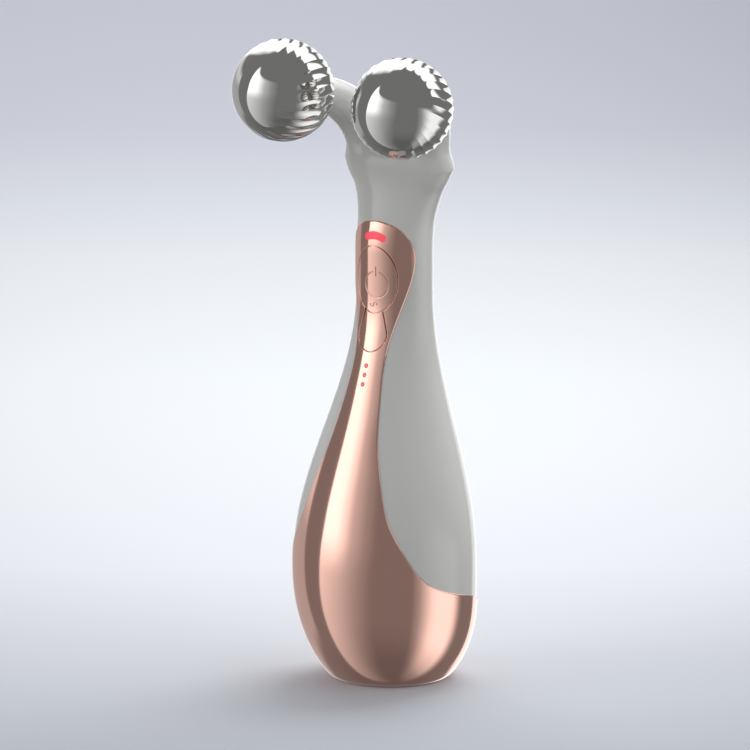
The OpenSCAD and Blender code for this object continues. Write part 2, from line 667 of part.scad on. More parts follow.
// ---------------------------------------------------------------- motor
weight_r = motor_r + 0.3;
weight_h = 4.5;
module motor_can() color("silver") translate([0, motor_y, motor_z]) {
    cylinder(r = motor_r, h = motor_len);
    cylinder(r = 1, h = motor_len + 0.5);
}
module motor_sleeve() color("black") translate([0, motor_y, motor_z + 1.5]) difference() {
    cylinder(r = motor_r + sleeve_t, h = motor_len - 3);
    translate([0, 0, -1]) cylinder(r = motor_r, h = motor_len);
}
module motor_weight() color("dimgray") translate([0, motor_y, motor_z + motor_len + 0.8]) {
    difference() {
        cylinder(r = weight_r, h = weight_h);
        translate([-weight_r - 1, 0.9, -1]) cube([2 * weight_r + 2, weight_r, weight_h + 2]);
    }
    cylinder(r = 0.9, h = weight_h + 0.4);
}

// ---------------------------------------------------------------- balls
hub_back = ball_r - 0.8; // back face of the hub, behind the ball's middle
hub_front = 3;
bush_r = 3.2;
seal_t = 0.35;

module ball(side) color("gainsboro") at_ball(side) rotate_extrude($fn = 96) difference() {
    intersection() {
        difference() {
            circle(r = ball_r, $fn = 96);
            circle(r = ball_r - ball_wall, $fn = 96);
        }
        translate([0, -ball_r - 1]) square([ball_r + 1, 2 * ball_r + 2]);
    }
    translate([-1, -ball_r - 1]) square([hub_r + 1, ball_r]);
}
module hub(side) color("white") at_ball(side) difference() {
    translate([0, 0, -hub_back]) cylinder(r = hub_r, h = hub_back - hub_front);
    translate([0, 0, -ball_r]) cylinder(r = bush_r, h = ball_r);
}
module bush(side) color("goldenrod") at_ball(side) difference() {
    translate([0, 0, -hub_back]) cylinder(r = bush_r, h = hub_back - hub_front);
    translate([0, 0, -ball_r]) cylinder(r = axle_r + axle_run, h = ball_r);
}
clip_gap = 0.4;
clip_t = 0.6;
module axle(side) color("silver") at_ball(side) difference() {
    translate([0, 0, -arm_end - axle_seat])
        cylinder(r = axle_r, h = arm_end + axle_seat - hub_front + clip_gap + clip_t + 0.8);
    translate([0, 0, -hub_front + clip_gap]) difference() {
        cylinder(r = axle_r + 1, h = clip_t);
        translate([0, 0, -1]) cylinder(r = axle_r - 0.4, h = clip_t + 2);
    }
}
module clip(side) color("silver") at_ball(side) translate([0, 0, -hub_front + clip_gap + 0.02])
    difference() {
        cylinder(r = axle_r + 1.4, h = clip_t - 0.04);
        translate([0, 0, -1]) cylinder(r = axle_r - 0.38, h = clip_t + 2);
        translate([0, -0.9, -1]) cube([axle_r + 2, 1.8, clip_t + 2]);
    }
module seal(side) color("black") at_ball(side) translate([0, 0, -arm_end]) difference() {
    cylinder(r = arm_r - 0.6, h = seal_t);
    translate([0, 0, -1]) cylinder(r = axle_r + fit, h = seal_t + 2);
}

module left_ball() ball(-1);
module left_hub() hub(-1);
module left_bush() bush(-1);
module left_axle() axle(-1);
module left_clip() clip(-1);
module left_seal() seal(-1);
module right_ball() ball(1);
module right_hub() hub(1);
module right_bush() bush(1);
module right_axle() axle(1);
module right_clip() clip(1);
module right_seal() seal(1);

front_cover();
left_housing();
right_housing();
base_cap();
foot_pad();
charge_socket();
base_screws();
inner_frame();
frame_screws();
battery();
battery_pad();
circuit_board();
board_screws();
power_switch();
mode_switch();
indicator_lamps();
power_key();
mode_key();
status_window();
level_lenses();
motor_can();
motor_sleeve();
motor_weight();
left_ball();
left_hub();
left_bush();
left_axle();
left_clip();
left_seal();
right_ball();
right_hub();
right_bush();
right_axle();
right_clip();
right_seal();
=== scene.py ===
"""Looks of the facial toning device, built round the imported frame. Lengths are in millimetres
until a mesh is made, and in metres from there on."""

import math

import bmesh
import bpy
import numpy as np
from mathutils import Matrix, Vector, geometry


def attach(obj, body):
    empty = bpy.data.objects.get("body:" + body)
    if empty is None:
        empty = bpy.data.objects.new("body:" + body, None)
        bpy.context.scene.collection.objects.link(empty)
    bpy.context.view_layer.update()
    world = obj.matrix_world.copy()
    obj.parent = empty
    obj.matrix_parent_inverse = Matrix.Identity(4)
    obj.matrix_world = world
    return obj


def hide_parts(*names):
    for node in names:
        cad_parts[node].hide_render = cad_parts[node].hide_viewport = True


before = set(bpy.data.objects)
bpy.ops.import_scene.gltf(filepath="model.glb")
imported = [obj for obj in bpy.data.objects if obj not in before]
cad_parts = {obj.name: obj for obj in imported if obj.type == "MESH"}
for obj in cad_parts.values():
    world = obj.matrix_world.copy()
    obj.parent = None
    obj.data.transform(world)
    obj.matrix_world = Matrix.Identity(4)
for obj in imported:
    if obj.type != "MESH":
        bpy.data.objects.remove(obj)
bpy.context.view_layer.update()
MM = 0.001

# ---- sizes of the handle
BELLY_R, BELLY_Z, BELLY_FORWARD = 27.5, 36.0, 2.8
BASE_R, BASE_ROUND, BOWL_POWER = 17.0, 1.9, 2.6
BOWL_DEPTH = BELLY_Z / (1 - (BASE_R / BELLY_R) ** 2) ** (1 / BOWL_POWER)
NECK_R, NECK_Z, NECK_BACK = 11.5, 119.0, 2.5
FLAT_START, FLAT_WIDE, FLAT_THIN = 92.0, 0.045, 0.085
FLARE_Z, RIDGE_Z, CROWN_H, FLARE_POWER = 138.0, 157.0, 9.5, 1.8
RIDGE_HALF_W, RIDGE_HALF_D, HEAD_BACK = 19.0, 9.0, 5.0
SWAY_Z, SWAY_H = 131.0, 22.0
FOOT_GAP = 0.3

# ---- arms and balls
ARM_R, ARM_THICK, ARM_THIN, ARM_ROOT_X = 5.8, 6.1, 5.3, 11.0
BALL_R = 15.5
BALL_MID = np.array([21.8, -24.8, 182.2])
SPLAY, TILT = math.radians(15), math.radians(12)
BALL_AXIS = np.array([math.sin(SPLAY) * math.cos(TILT), -math.cos(SPLAY) * math.cos(TILT),
                      math.sin(TILT)])
ARM_END = BALL_R - 0.3
ARM_DROP = np.array([0.2, 0.0, -1.2])
ARM_CURVE = np.array([
    [ARM_ROOT_X, HEAD_BACK - 0.6, RIDGE_Z - 1],
    [ARM_ROOT_X + 0.6, HEAD_BACK - 0.2, RIDGE_Z + 12] + ARM_DROP,
    BALL_MID - BALL_AXIS * (ARM_END + 12) + ARM_DROP,
    BALL_MID - BALL_AXIS * ARM_END])
HUB_R = 6.0
FLUTES = 32
FLUTE_DEPTH = 0.34
CAP_ANGLE, FULL_ANGLE = 43.0, 97.0  # degrees from the pole to the flutes' start and full depth
FADE_ANGLE, FADE_WIDE, BACK_ANGLE = 148, 8, 157  # where they fade out, and where the ball ends
TWIST = 17.0  # degrees that the flutes lean
FLUTE_COLS = 10
HUB_SINK, HUB_FIT = 2.0, 0.02

# ---- cover, keys and lights
COVER_WALL, COVER_PROUD = 1.2, 0.4
RIM_Z, TONGUE_Z, TONGUE_DEG = 21.0, 90.0, 23.0
OVAL_Z, OVAL_DEG, COVER_TOP_Z = 129.5, 64.0, 141.4
KEY_GAP, KEY_PLATE = 0.25, 0.68
KEY_STEP = (0.5, KEY_GAP - 0.04)  # depth and width of the ledge round a key
POWER_Z, POWER_HALF_W, POWER_HALF_H = 123.6, 7.2, 10.2
MODE_Z, MODE_R, MODE_NECK_X, MODE_SHOULDER = 106.9, 4.9, 3.0, 8.0
LEVEL_Z, LEVEL_PITCH, LEVEL_R = 92.4, 2.7, 0.72
WINDOW_Z, WINDOW_HALF_W, WINDOW_HALF_H, WINDOW_SAG = 137.1, 3.9, 1.3, 1.4
FIT = 0.05
LENS_LOW = -1.4  # underside of the window and the level lights, from the skin
OUTLINE_STEP = 0.15

# ---- view
VIEW_AZ, VIEW_EL = math.radians(35), math.radians(13.3)
VIEW_SIZE, VIEW_TARGET, CAMERA_FAR = 0.225, (-0.0037, -0.0026, 0.0925), 1.5  # metres
TO_CAMERA = np.array([math.sin(VIEW_AZ), -math.cos(VIEW_AZ), 0.0])
TO_RIGHT = np.array([math.cos(VIEW_AZ), math.sin(VIEW_AZ), 0.0])


def ease(t):
    """A soft step from 0 to 1."""
    return (1 - np.cos(np.pi * np.clip(t, 0, 1))) / 2


def mean_r(z):
    """The handle's radius before its neck is flattened."""
    z = np.asarray(z, float)
    low = np.clip((BELLY_Z - z) / BOWL_DEPTH, 0, 0.999) ** BOWL_POWER
    round_off = BASE_ROUND - np.sqrt(
        np.clip(BASE_ROUND**2 - np.clip(BASE_ROUND - z, 0, BASE_ROUND) ** 2, 0, None))
    bowl = BELLY_R * np.sqrt(1 - low) - np.where(z < BASE_ROUND, round_off, 0)
    taper = NECK_R + (BELLY_R - NECK_R) * (1 - ease((z - BELLY_Z) / (NECK_Z - BELLY_Z)))
    return np.where(z < BELLY_Z, bowl, taper)


def flatness(z):
    return ease((z - FLAT_START) / (NECK_Z - FLAT_START))


def flare(z):
    return np.clip((z - FLARE_Z) / (RIDGE_Z - FLARE_Z), 0, 1)


def half_w(z):
    return mean_r(z) * (1 + FLAT_WIDE * flatness(z)) + (
        RIDGE_HALF_W - NECK_R * (1 + FLAT_WIDE)) * flare(z) ** FLARE_POWER


def half_d(z):
    return mean_r(z) * (1 - FLAT_THIN * flatness(z)) + (
        RIDGE_HALF_D - NECK_R * (1 - FLAT_THIN)) * ease(flare(z))


def middle_y(z):
    """Y of the handle's middle line, which sways back and forth."""
    z = np.asarray(z, float)
    up = (-BELLY_FORWARD + (BELLY_FORWARD + NECK_BACK) * ease((z - BELLY_Z) / (NECK_Z - BELLY_Z))
          + (HEAD_BACK - NECK_BACK) * ease((z - SWAY_Z) / SWAY_H))
    return np.where(z < BELLY_Z, -BELLY_FORWARD * ease(z / BELLY_Z), up)


def skin(t, z, off):
    """Points of the handle's skin at angle t from the front, set out by off."""
    return np.stack([(half_w(z) + off) * np.sin(t), middle_y(z) - (half_d(z) + off) * np.cos(t),
                     z + 0 * t], -1)


def unit(v):
    return v / np.maximum(np.linalg.norm(v, axis=-1, keepdims=True), 1e-12)


# ---- flat charts of the skin
FAR, BATCH = 1e9, 4000


# A chart point is (u, z): u is the way round the handle from the front, z is the height.
def lift(chart, off):
    u, z = chart[:, 0], chart[:, 1]
    return skin(u / mean_r(z), z, off)


def slopes(chart, off):
    """How the skin's points move with u and with z."""
    step = 0.002
    du, dz = np.array([step, 0]), np.array([0, step])
    e = (lift(chart + du, off) - lift(chart - du, off)) / (2 * step)
    f = (lift(chart + dz, off) - lift(chart - dz, off)) / (2 * step)
    return e, f


def resample(points, gap, closed=True):
    """The same polyline with points gap apart."""
    pts = np.vstack([points, points[:1]]) if closed else np.asarray(points)
    run = np.r_[0, np.cumsum(np.linalg.norm(np.diff(pts, axis=0), axis=1))]
    n = max(8, int(round(run[-1] / gap)))
    at = np.linspace(0, run[-1], n + 1)
    out = np.stack([np.interp(at, run, pts[:, i]) for i in range(2)], 1)
    return out[:-1] if closed else out


def soften(points, rounds):
    """Rounds a closed polyline's corners by averaging each point with its neighbours."""
    for _ in range(rounds):
        points = points / 2 + (np.roll(points, 1, 0) + np.roll(points, -1, 0)) / 4
    return points


def side_normals(points, closed=True):
    """Unit normals to the left of the way along a polyline."""
    if closed:
        d = np.roll(points, -1, 0) - np.roll(points, 1, 0)
    else:
        d = np.gradient(points, axis=0)
    return unit(np.stack([-d[:, 1], d[:, 0]], 1))


def inside(points, loop):
    """Which points lie within a closed polyline."""
    a, b = loop, np.roll(loop, -1, 0)
    hit = np.zeros(len(points), bool)
    for (ax, ay), (bx, by) in zip(a, b):
        if ay == by:
            continue
        cross = (ay > points[:, 1]) != (by > points[:, 1])
        hit ^= cross & (points[:, 0] < (bx - ax) * (points[:, 1] - ay) / (by - ay) + ax)
    return hit


def gap_to(points, line):
    """Distance from each point to the nearest point of a line."""
    out = np.full(len(points), FAR)
    for i in range(0, len(points), BATCH):
        d = points[i:i + BATCH, None, :] - line[None]
        out[i:i + BATCH] = np.sqrt((d**2).sum(-1).min(1))
    return out


class Shell:
    """Faces with a normal at each corner; corners in one place are joined at the end."""

    def __init__(self):
        self.points, self.normals, self.faces = [], [], []
        self.count = 0

    def add(self, points, normals):
        start = self.count
        self.points.append(np.asarray(points, float))
        self.normals.append(np.asarray(normals, float))
        self.count += len(points)
        return start

    def strip(self, a, b, n, closed):
        """Quads between two rows of n corners that start at a and b."""
        i = np.arange(n if closed else n - 1)
        j = (i + 1) % n
        self.faces += np.stack([a + i, a + j, b + j, b + i], 1).tolist()

    def make(self, name, material, digits=5):
        """The mesh object. Corners that agree to so many digits are one."""
        points, normals = np.vstack(self.points), unit(np.vstack(self.normals))
        key = np.round(points, digits) + 0.0
        _, first, back = np.unique(key, axis=0, return_index=True, return_inverse=True)
        back = back.reshape(-1)
        faces = []
        for f in self.faces:
            g = [int(back[i]) for i in f]
            pairs = [(v, i) for k, (v, i) in enumerate(zip(g, f)) if v != g[k - 1]]
            if len(pairs) > 2:
                faces.append(pairs)
        mesh = bpy.data.meshes.new(name)
        corners = (points[first] * MM).tolist()
        mesh.from_pydata(corners, [], [[v for v, _ in f] for f in faces])
        bm = bmesh.new()
        bm.from_mesh(mesh)
        before = [f.normal.copy() for f in bm.faces]
        bmesh.ops.recalc_face_normals(bm, faces=bm.faces)
        shown = []
        for pairs, face, was in zip(faces, bm.faces, before):
            if face.normal.dot(was) < 0:  # this face looked inwards
                pairs.reverse()
            own = normals[[i for _, i in pairs]]
            if own.sum(0) @ face.normal < 0:
                own = np.tile(face.normal, (len(pairs), 1))
            shown += own.tolist()
        bm.free()
        mesh.clear_geometry()
        mesh.from_pydata(corners, [], [[v for v, _ in f] for f in faces])
        mesh.shade_smooth()
        mesh.normals_split_custom_set(shown)
        mesh.materials.append(material)
        obj = bpy.data.objects.new(name, mesh)
        bpy.context.scene.collection.objects.link(obj)
        return obj


def place(obj, body, slot_name, *nodes):
    """Ties a piece to its body, in place of the nodes. slot_name is not used."""
    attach(obj, body)
    if nodes:
        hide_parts(*nodes)
    return obj


ROLL_STEPS = [90, 72, 54, 36, 18, 0]  # degrees, from the wall up to the skin
ROW_SHARE = 0.866  # rows of even triangles lie this share of a cell apart


def rolled_edge(shell, line, closed, roll, top, bottom, step=None, straight=False):
    """A rounded edge along line, material on its left. Returns the line where it ends.
    step = (depth, width) widens the piece below that depth, so that its gap is shallow.
    A straight wall runs along Y, the way a key is pressed, and any other along the normal."""
    side = side_normals(line, closed)
    if not closed:
        side[0], side[-1] = [0, -1], [0, -1]
    rows, charts = [], []
    for angle in np.radians(ROLL_STEPS):
        chart = line + side * roll * (1 - math.sin(angle))
        if not closed:  # both ends stay on the line up the middle of the back
            chart[[0, -1], 0] = np.pi * mean_r(chart[0, 1]) * np.array([1, -1])
        off = top(chart) - roll * (1 - math.cos(angle))
        e, f = slopes(chart, off)
        out = unit(np.cross(e, f))
        away = unit(-(e * side[:, :1] + f * side[:, 1:]))
        normal = out * math.cos(angle) + away * math.sin(angle)
        rows.append(shell.add(lift(chart, off), normal))
        charts.append(chart)
    n = len(line)
    for a, b in zip(rows, rows[1:]):
        shell.strip(a, b, n, closed)
    e, f = slopes(line, bottom)
    away = unit(-(e * side[:, :1] + f * side[:, 1:]))
    out = unit(np.cross(e, f))
    if straight:
        away = unit(away * [1, 0, 1])

    def wall_at(at, off):
        if not straight:
            return lift(at, off)
        start = top(at) - roll
        return lift(at, start) + np.outer(start - off, [0, 1, 0])

    foot = line
    walls = [(line, top(line) - roll, bottom)]
    if step:
        foot = line - side * step[1]
        ledge = top(line) - step[0]
        walls = [(line, top(line) - roll, ledge), (foot, ledge, bottom)]
        shell.strip(shell.add(wall_at(foot, ledge), out), shell.add(wall_at(line, ledge), out),
                    n, closed)
    for at, high, low in walls:
        a, b = shell.add(wall_at(at, low), away), shell.add(wall_at(at, high), away)
        shell.strip(a, b, n, closed)
    last = charts[-1]
    a, b = shell.add(lift(last, bottom), -out), shell.add(wall_at(foot, bottom), -out)
    shell.strip(a, b, n, closed)
    return last


def fill(shell, outer, holes, extra, top, bottom, cell, bent=False):
    """The faces between the outer line and the holes, on the skin and on its underside.
    Where top gives a changing offset, bent makes the normals follow it."""

    def within(p):
        ok = inside(p, outer)
        for h in holes:
            ok &= ~inside(p, h)
        return ok

    low, high = outer.min(0), outer.max(0)
    grid = []
    for i, z in enumerate(np.arange(low[1] + cell / 2, high[1], cell * ROW_SHARE)):
        x = np.arange(low[0] + (i % 2) * cell / 2, high[0], cell)
        grid.append(np.stack([x, np.full_like(x, z)], 1))
    grid = np.vstack(grid)
    lines = [outer, *holes]
    grid = grid[within(grid)]
    grid = grid[gap_to(grid, np.vstack(lines + ([extra] if len(extra) else []))) > cell * 0.55]
    edges = []
    start = 0
    for line in lines:
        n = len(line)
        edges += [(start + i, start + (i + 1) % n) for i in range(n)]
        start += n
    points = np.vstack(lines + ([extra] if len(extra) else []) + [grid])
    got = geometry.delaunay_2d_cdt([Vector(p) for p in points], edges, [], 0, 1e-7)
    order = np.array([o[0] if o else -1 for o in got[3]])
    tri = order[np.array([f for f in got[2] if len(f) == 3])]
    tri = tri[(tri >= 0).all(1)]
    tri = tri[within(points[tri].mean(1))]
    a, b, c = points[tri[:, 0]], points[tri[:, 1]], points[tri[:, 2]]
    ab, ac = b - a, c - a
    turned = (ab[:, 0] * ac[:, 1] - ab[:, 1] * ac[:, 0]) < 0
    tri[turned] = tri[turned][:, ::-1]
    off = top(points)
    e, f = slopes(points, off)
    normal = np.cross(e, f)
    if bent:
        step = 0.01
        gu = (top(points + [step, 0]) - top(points - [step, 0])) / (2 * step)
        gz = (top(points + [0, step]) - top(points - [0, step])) / (2 * step)
        out = unit(normal)
        normal = np.cross(e + out * gu[:, None], f + out * gz[:, None])
    s = shell.add(lift(points, off), normal)
    shell.faces += (tri + s).tolist()
    e, f = slopes(points, bottom)
    s = shell.add(lift(points, bottom), -np.cross(e, f))
    shell.faces += (tri[:, ::-1] + s).tolist()


def front_chart(outline, off):
    """Chart points of an outline given as X and Z seen from the front."""
    x, z = outline[:, 0], outline[:, 1]
    return np.stack([np.arcsin(np.clip(x / (half_w(z) + off), -1, 1)) * mean_r(z), z], 1)


# ---- the cover's edge
SPAN_UP = 7.0  # the tongue stays narrow for this height


def edge_knots():
    """Angle from the front (degrees) and height of the points that the cover's edge meets."""
    low = [[180, 0], [126, 0.045], [108, 0.084], [74, 0.152], [59, 0.217], [46, 0.345],
           [36, 0.475], [29.5, 0.65], [24.6, 0.81]]  # height as a share of rim to tongue
    knots = [[a, RIM_Z + s * (TONGUE_Z - RIM_Z)] for a, s in low]
    knots += [[TONGUE_DEG, TONGUE_Z], [TONGUE_DEG, TONGUE_Z + SPAN_UP]]
    span = OVAL_Z - TONGUE_Z - SPAN_UP
    for i in range(1, 7):
        z = TONGUE_Z + SPAN_UP + span * i / 7
        narrowing = float(ease(((OVAL_Z - z) / span) ** 0.8))
        knots.append([OVAL_DEG - (OVAL_DEG - TONGUE_DEG) * narrowing, z])
    for a in range(0, 91, 15):
        a = math.radians(a)
        knots.append([OVAL_DEG * math.cos(a), OVAL_Z + (COVER_TOP_Z - OVAL_Z) * math.sin(a)])
    return np.array(knots)


def cover_edge(steps=40):
    """Chart line of the cover's right edge, from the middle of the back up to its top."""
    k = edge_knots()
    k = np.vstack([[360 - k[1, 0], k[1, 1]], k, [-k[-2, 0], k[-2, 1]]])
    out = []
    for i in range(1, len(k) - 2):
        a, b, c, d = k[i - 1:i + 3]
        for t in np.arange(steps) / steps:
            out.append((2 * b + (c - a) * t + (2 * a - 5 * b + 4 * c - d) * t * t
                        + (3 * b - a - 3 * c + d) * t**3) / 2)
    out.append(k[-2])
    out = np.array(out)
    return np.stack([np.radians(out[:, 0]) * mean_r(out[:, 1]), out[:, 1]], 1)


EDGE = resample(cover_edge(), 0.3, closed=False)
EDGE[0, 0] = math.pi * mean_r(RIM_Z)
EDGE[-1] = [0, COVER_TOP_Z]


# ---- outlines on the front
def oval(rx, rz, z, n=400):
    a = np.arange(n) * 2 * np.pi / n
    return np.stack([rx * np.sin(a), z + rz * np.cos(a)], 1)[::-1]


def power_low(x, grow):
    """Height of the power key's lower edge at x."""
    rx, rz = POWER_HALF_W + grow, POWER_HALF_H + grow
    return POWER_Z - rz * np.sqrt(1 - (x / rx) ** 2)


def mode_outline(grow, top):
    """The mode key's outline, counter-clockwise from its top left, grown by grow."""
    r = MODE_R + grow
    s = math.radians(MODE_SHOULDER)
    a = np.linspace(math.pi - s, 2 * math.pi + s, 160)
    round_end = np.stack([r * np.cos(a), MODE_Z + r * np.sin(a)], 1)
    x = np.linspace(MODE_NECK_X + grow, -MODE_NECK_X - grow, 60)
    return np.vstack([round_end, np.stack([x, top(x)], 1)])


def hole_outline():
    """One opening for both keys, clockwise."""
    low = mode_outline(KEY_GAP, lambda x: power_low(x, KEY_GAP - 0.4))
    wide = oval(POWER_HALF_W + KEY_GAP, POWER_HALF_H + KEY_GAP, POWER_Z)
    high = wide[~inside(wide, low)]
    low = low[~inside(low, wide)]
    high = high[np.argsort(np.arctan2(*(high - [0, POWER_Z]).T) % (2 * np.pi))]
    low = low[np.argsort(-np.arctan2(low[:, 0], MODE_Z + 2 - low[:, 1]))]
    jump = np.abs(np.diff(high, axis=0, prepend=high[-1:])).sum(1)
    high = np.roll(high, -np.argmax(jump), 0)
    if np.linalg.norm(high[-1] - low[0]) >= np.linalg.norm(high[-1] - low[-1]):
        low = low[::-1]
    loop = soften(resample(np.vstack([high, low]), 0.1), 6)
    area = (loop[:, 0] * np.roll(loop[:, 1], -1) - np.roll(loop[:, 0], -1) * loop[:, 1]).sum()
    return loop if area < 0 else loop[::-1]


def window_outline(grow):
    """A short bar with round ends that sag, counter-clockwise."""
    w, h = WINDOW_HALF_W - WINDOW_HALF_H, WINDOW_HALF_H + grow

    def sag(x):
        return WINDOW_SAG * (x / WINDOW_HALF_W) ** 2

    x = np.linspace(-w, w, 60)
    a = np.radians(np.linspace(0, 180, 40))[1:-1]
    upper = np.stack([x, WINDOW_Z + h - sag(x)], 1)
    right = np.stack([w + h * np.sin(a), WINDOW_Z + h * np.cos(a) - sag(w)], 1)
    lower = np.stack([x[::-1], WINDOW_Z - h - sag(x[::-1])], 1)
    left = np.stack([-w - h * np.sin(a), WINDOW_Z - h * np.cos(a) - sag(w)], 1)
    return np.vstack([upper, right, lower, left])[::-1]


# ---- materials
class Wire:
    """A node's output that can be used in sums."""

    def __init__(self, graph, socket):
        self.graph, self.socket = graph, socket

    def math(self, operation, *others, **props):
        return self.graph.node("ShaderNodeMath", [self, *others], operation=operation, **props)

    def __add__(self, other):
        return self.math("ADD", other)

    __radd__ = __add__

    def __sub__(self, other):
        return self.math("SUBTRACT", other)

    def __rsub__(self, other):
        return (self * -1) + other

    def __mul__(self, other):
        return self.math("MULTIPLY", other)

    __rmul__ = __mul__

    def __truediv__(self, other):
        return self.math("DIVIDE", other)


class Graph:
    """A node tree that is written as a formula."""

    def __init__(self, tree):
        self.tree = tree
        tree.nodes.clear()

    def put(self, value, socket):
        if isinstance(value, Wire):
            self.tree.links.new(value.socket, socket)
        elif isinstance(value, (tuple, list)) and socket.type == "RGBA" and len(value) == 3:
            socket.default_value = (*value, 1)
        else:
            socket.default_value = value

    def node(self, kind, inputs=(), output=0, **props):
        n = self.tree.nodes.new(kind)
        for k, v in props.items():
            setattr(n, k, v)
        pairs = inputs.items() if isinstance(inputs, dict) else enumerate(inputs)
        for k, v in pairs:
            self.put(v, n.inputs[k])
        return None if output is None else Wire(self, n.outputs[output])

    def place(self):
        return self.node("ShaderNodeTexCoord", output="Object")

    def along(self, vector, way):
        return self.node("ShaderNodeVectorMath", [vector, tuple(way)], output="Value",
                         operation="DOT_PRODUCT")

    def noise(self, scale, detail=3.0):
        return self.node("ShaderNodeTexNoise", {
            "Vector": self.place(), "Scale": scale, "Detail": detail, "Roughness": 0.5},
            output="Fac")

    def blend(self, share, a, b):
        n = self.tree.nodes.new("ShaderNodeMix")
        n.data_type = "RGBA"
        self.put(share, n.inputs["Factor"])
        colours = [s for s in n.inputs if s.type == "RGBA"]
        self.put(a, colours[0])
        self.put(b, colours[1])
        return Wire(self, [s for s in n.outputs if s.type == "RGBA"][0])

    def ramp(self, share, stops):
        n = self.tree.nodes.new("ShaderNodeValToRGB")
        self.put(share, n.inputs[0])
        els = n.color_ramp.elements
        while len(els) > 1:
            els.remove(els[-1])
        els[0].position, els[0].color = stops[0][0], (*stops[0][1], 1)
        for at, colour in stops[1:]:
            e = els.new(at)
            e.color = (*colour, 1)
        return Wire(self, n.outputs[0])

    def spread(self, value, low, high, to_low=0.0, to_high=1.0, kind="LINEAR"):
        return self.node("ShaderNodeMapRange", [value, low, high, to_low, to_high],
                         interpolation_type=kind)


def srgb(r, g, b):
    return tuple(((v / 255 + 0.055) / 1.055) ** 2.4 if v > 10 else v / 255 / 12.92
                 for v in (r, g, b))


def shaded(name, build):
    mat = bpy.data.materials.new(name)
    mat.use_nodes = True
    g = Graph(mat.node_tree)
    parts = build(g)
    clear = parts.pop("clear", None)
    shader = g.node("ShaderNodeBsdfPrincipled", parts)
    if clear is not None:
        shader = g.node("ShaderNodeMixShader", [clear, shader,
                                                g.node("ShaderNodeBsdfTransparent")])
    g.node("ShaderNodeOutputMaterial", [shader], output=None)
    return mat


def bumpy(g, parts, strength, distance, height):
    if strength:
        parts["Normal"] = g.node("ShaderNodeBump", {
            "Strength": strength, "Distance": distance, "Height": height})
    return parts


def metal(name, tone, shadow_tone, rough, grain=0.0, spread=0.03):
    def build(g):
        fine = g.noise(900.0, 4.0)
        return bumpy(g, {
            "Base Color": g.blend(g.noise(120.0), shadow_tone, tone), "Metallic": 1.0,
            "Roughness": g.spread(fine, 0.3, 0.7, rough - spread / 2, rough + spread / 2)},
            grain, 0.00002, fine)
    return shaded(name, build)


def plastic(name, tone, shadow_tone, rough, grain=0.0):
    def build(g):
        fine = g.noise(2500.0, 3.0)
        return bumpy(g, {
            "Base Color": g.blend(g.noise(60.0), shadow_tone, tone),
            "Roughness": g.spread(fine, 0.3, 0.7, rough * 0.93, rough * 1.07)},
            grain, 0.00003, fine)
    return shaded(name, build)


def lit(name, tone, core, glow):
    def build(g):
        colour = g.blend(g.noise(700.0, 2.0), tone, core)
        return {"Base Color": colour, "Roughness": 0.25, "Emission Color": colour,
                "Emission Strength": glow}
    return shaded(name, build)


def board_green(name):
    def build(g):
        lines = g.node("ShaderNodeTexWave", {"Vector": g.place(), "Scale": 500.0,
                                             "Distortion": 6.0, "Detail": 2.0}, output="Fac")
        return {"Base Color": g.blend(g.spread(lines, 0.45, 0.6), (0.01, 0.08, 0.03),
                                      (0.02, 0.14, 0.05)),
                "Roughness": 0.35}
    return shaded(name, build)


def foam(name, tone):
    def build(g):
        cells = g.node("ShaderNodeTexVoronoi", {"Vector": g.place(), "Scale": 1500.0},
                       output="Distance")
        return {"Base Color": g.blend(cells, tone, tuple(v * 0.6 for v in tone)),
                "Roughness": 0.9,
                "Normal": g.node("ShaderNodeBump", {"Strength": 0.5, "Distance": 0.0002,
                                                    "Height": cells})}
    return shaded(name, build)


BY_SLOT = {material.name.split(".")[0]: material for material in (
    metal("rose_metal", (0.93, 0.57, 0.475), (0.91, 0.555, 0.46), 0.1, spread=0.02),
    metal("key_metal", (0.93, 0.57, 0.475), (0.91, 0.555, 0.46), 0.1, spread=0.02),
    plastic("white_shell", (0.84, 0.84, 0.83), (0.83, 0.83, 0.82), 0.12),
    metal("chrome", (0.66, 0.655, 0.64), (0.65, 0.645, 0.63), 0.035, spread=0.01),
    metal("steel", (0.6, 0.6, 0.61), (0.5, 0.5, 0.52), 0.28, grain=0.1),
    metal("motor_steel", (0.62, 0.6, 0.57), (0.52, 0.51, 0.5), 0.22),
    metal("weight_metal", (0.35, 0.34, 0.33), (0.28, 0.27, 0.27), 0.4, grain=0.2),
    metal("brass", (0.78, 0.56, 0.24), (0.68, 0.47, 0.2), 0.25),
    metal("cell_wrap", (0.2, 0.36, 0.6), (0.17, 0.32, 0.55), 0.3),
    plastic("base_plastic", (0.05, 0.05, 0.055), (0.035, 0.035, 0.04), 0.4, grain=0.2),
    plastic("foot_rubber", (0.03, 0.03, 0.032), (0.02, 0.02, 0.022), 0.7, grain=0.4),
    plastic("seal_rubber", (0.12, 0.12, 0.125), (0.09, 0.09, 0.095), 0.6, grain=0.3),
    plastic("frame_plastic", (0.5, 0.5, 0.49), (0.42, 0.42, 0.42), 0.45, grain=0.2),
    plastic("hub_plastic", (0.72, 0.72, 0.71), (0.66, 0.66, 0.66), 0.35),
    plastic("switch_black", (0.03, 0.03, 0.035), (0.02, 0.02, 0.02), 0.35),
    foam("foam", (0.3, 0.3, 0.31)),
    board_green("board"),
    lit("lamp", (1.0, 0.5, 0.4), (1.0, 0.6, 0.5), 0.6),
    lit("red_lens", (0.9, 0.06, 0.1), (0.95, 0.1, 0.13), 0.55))}


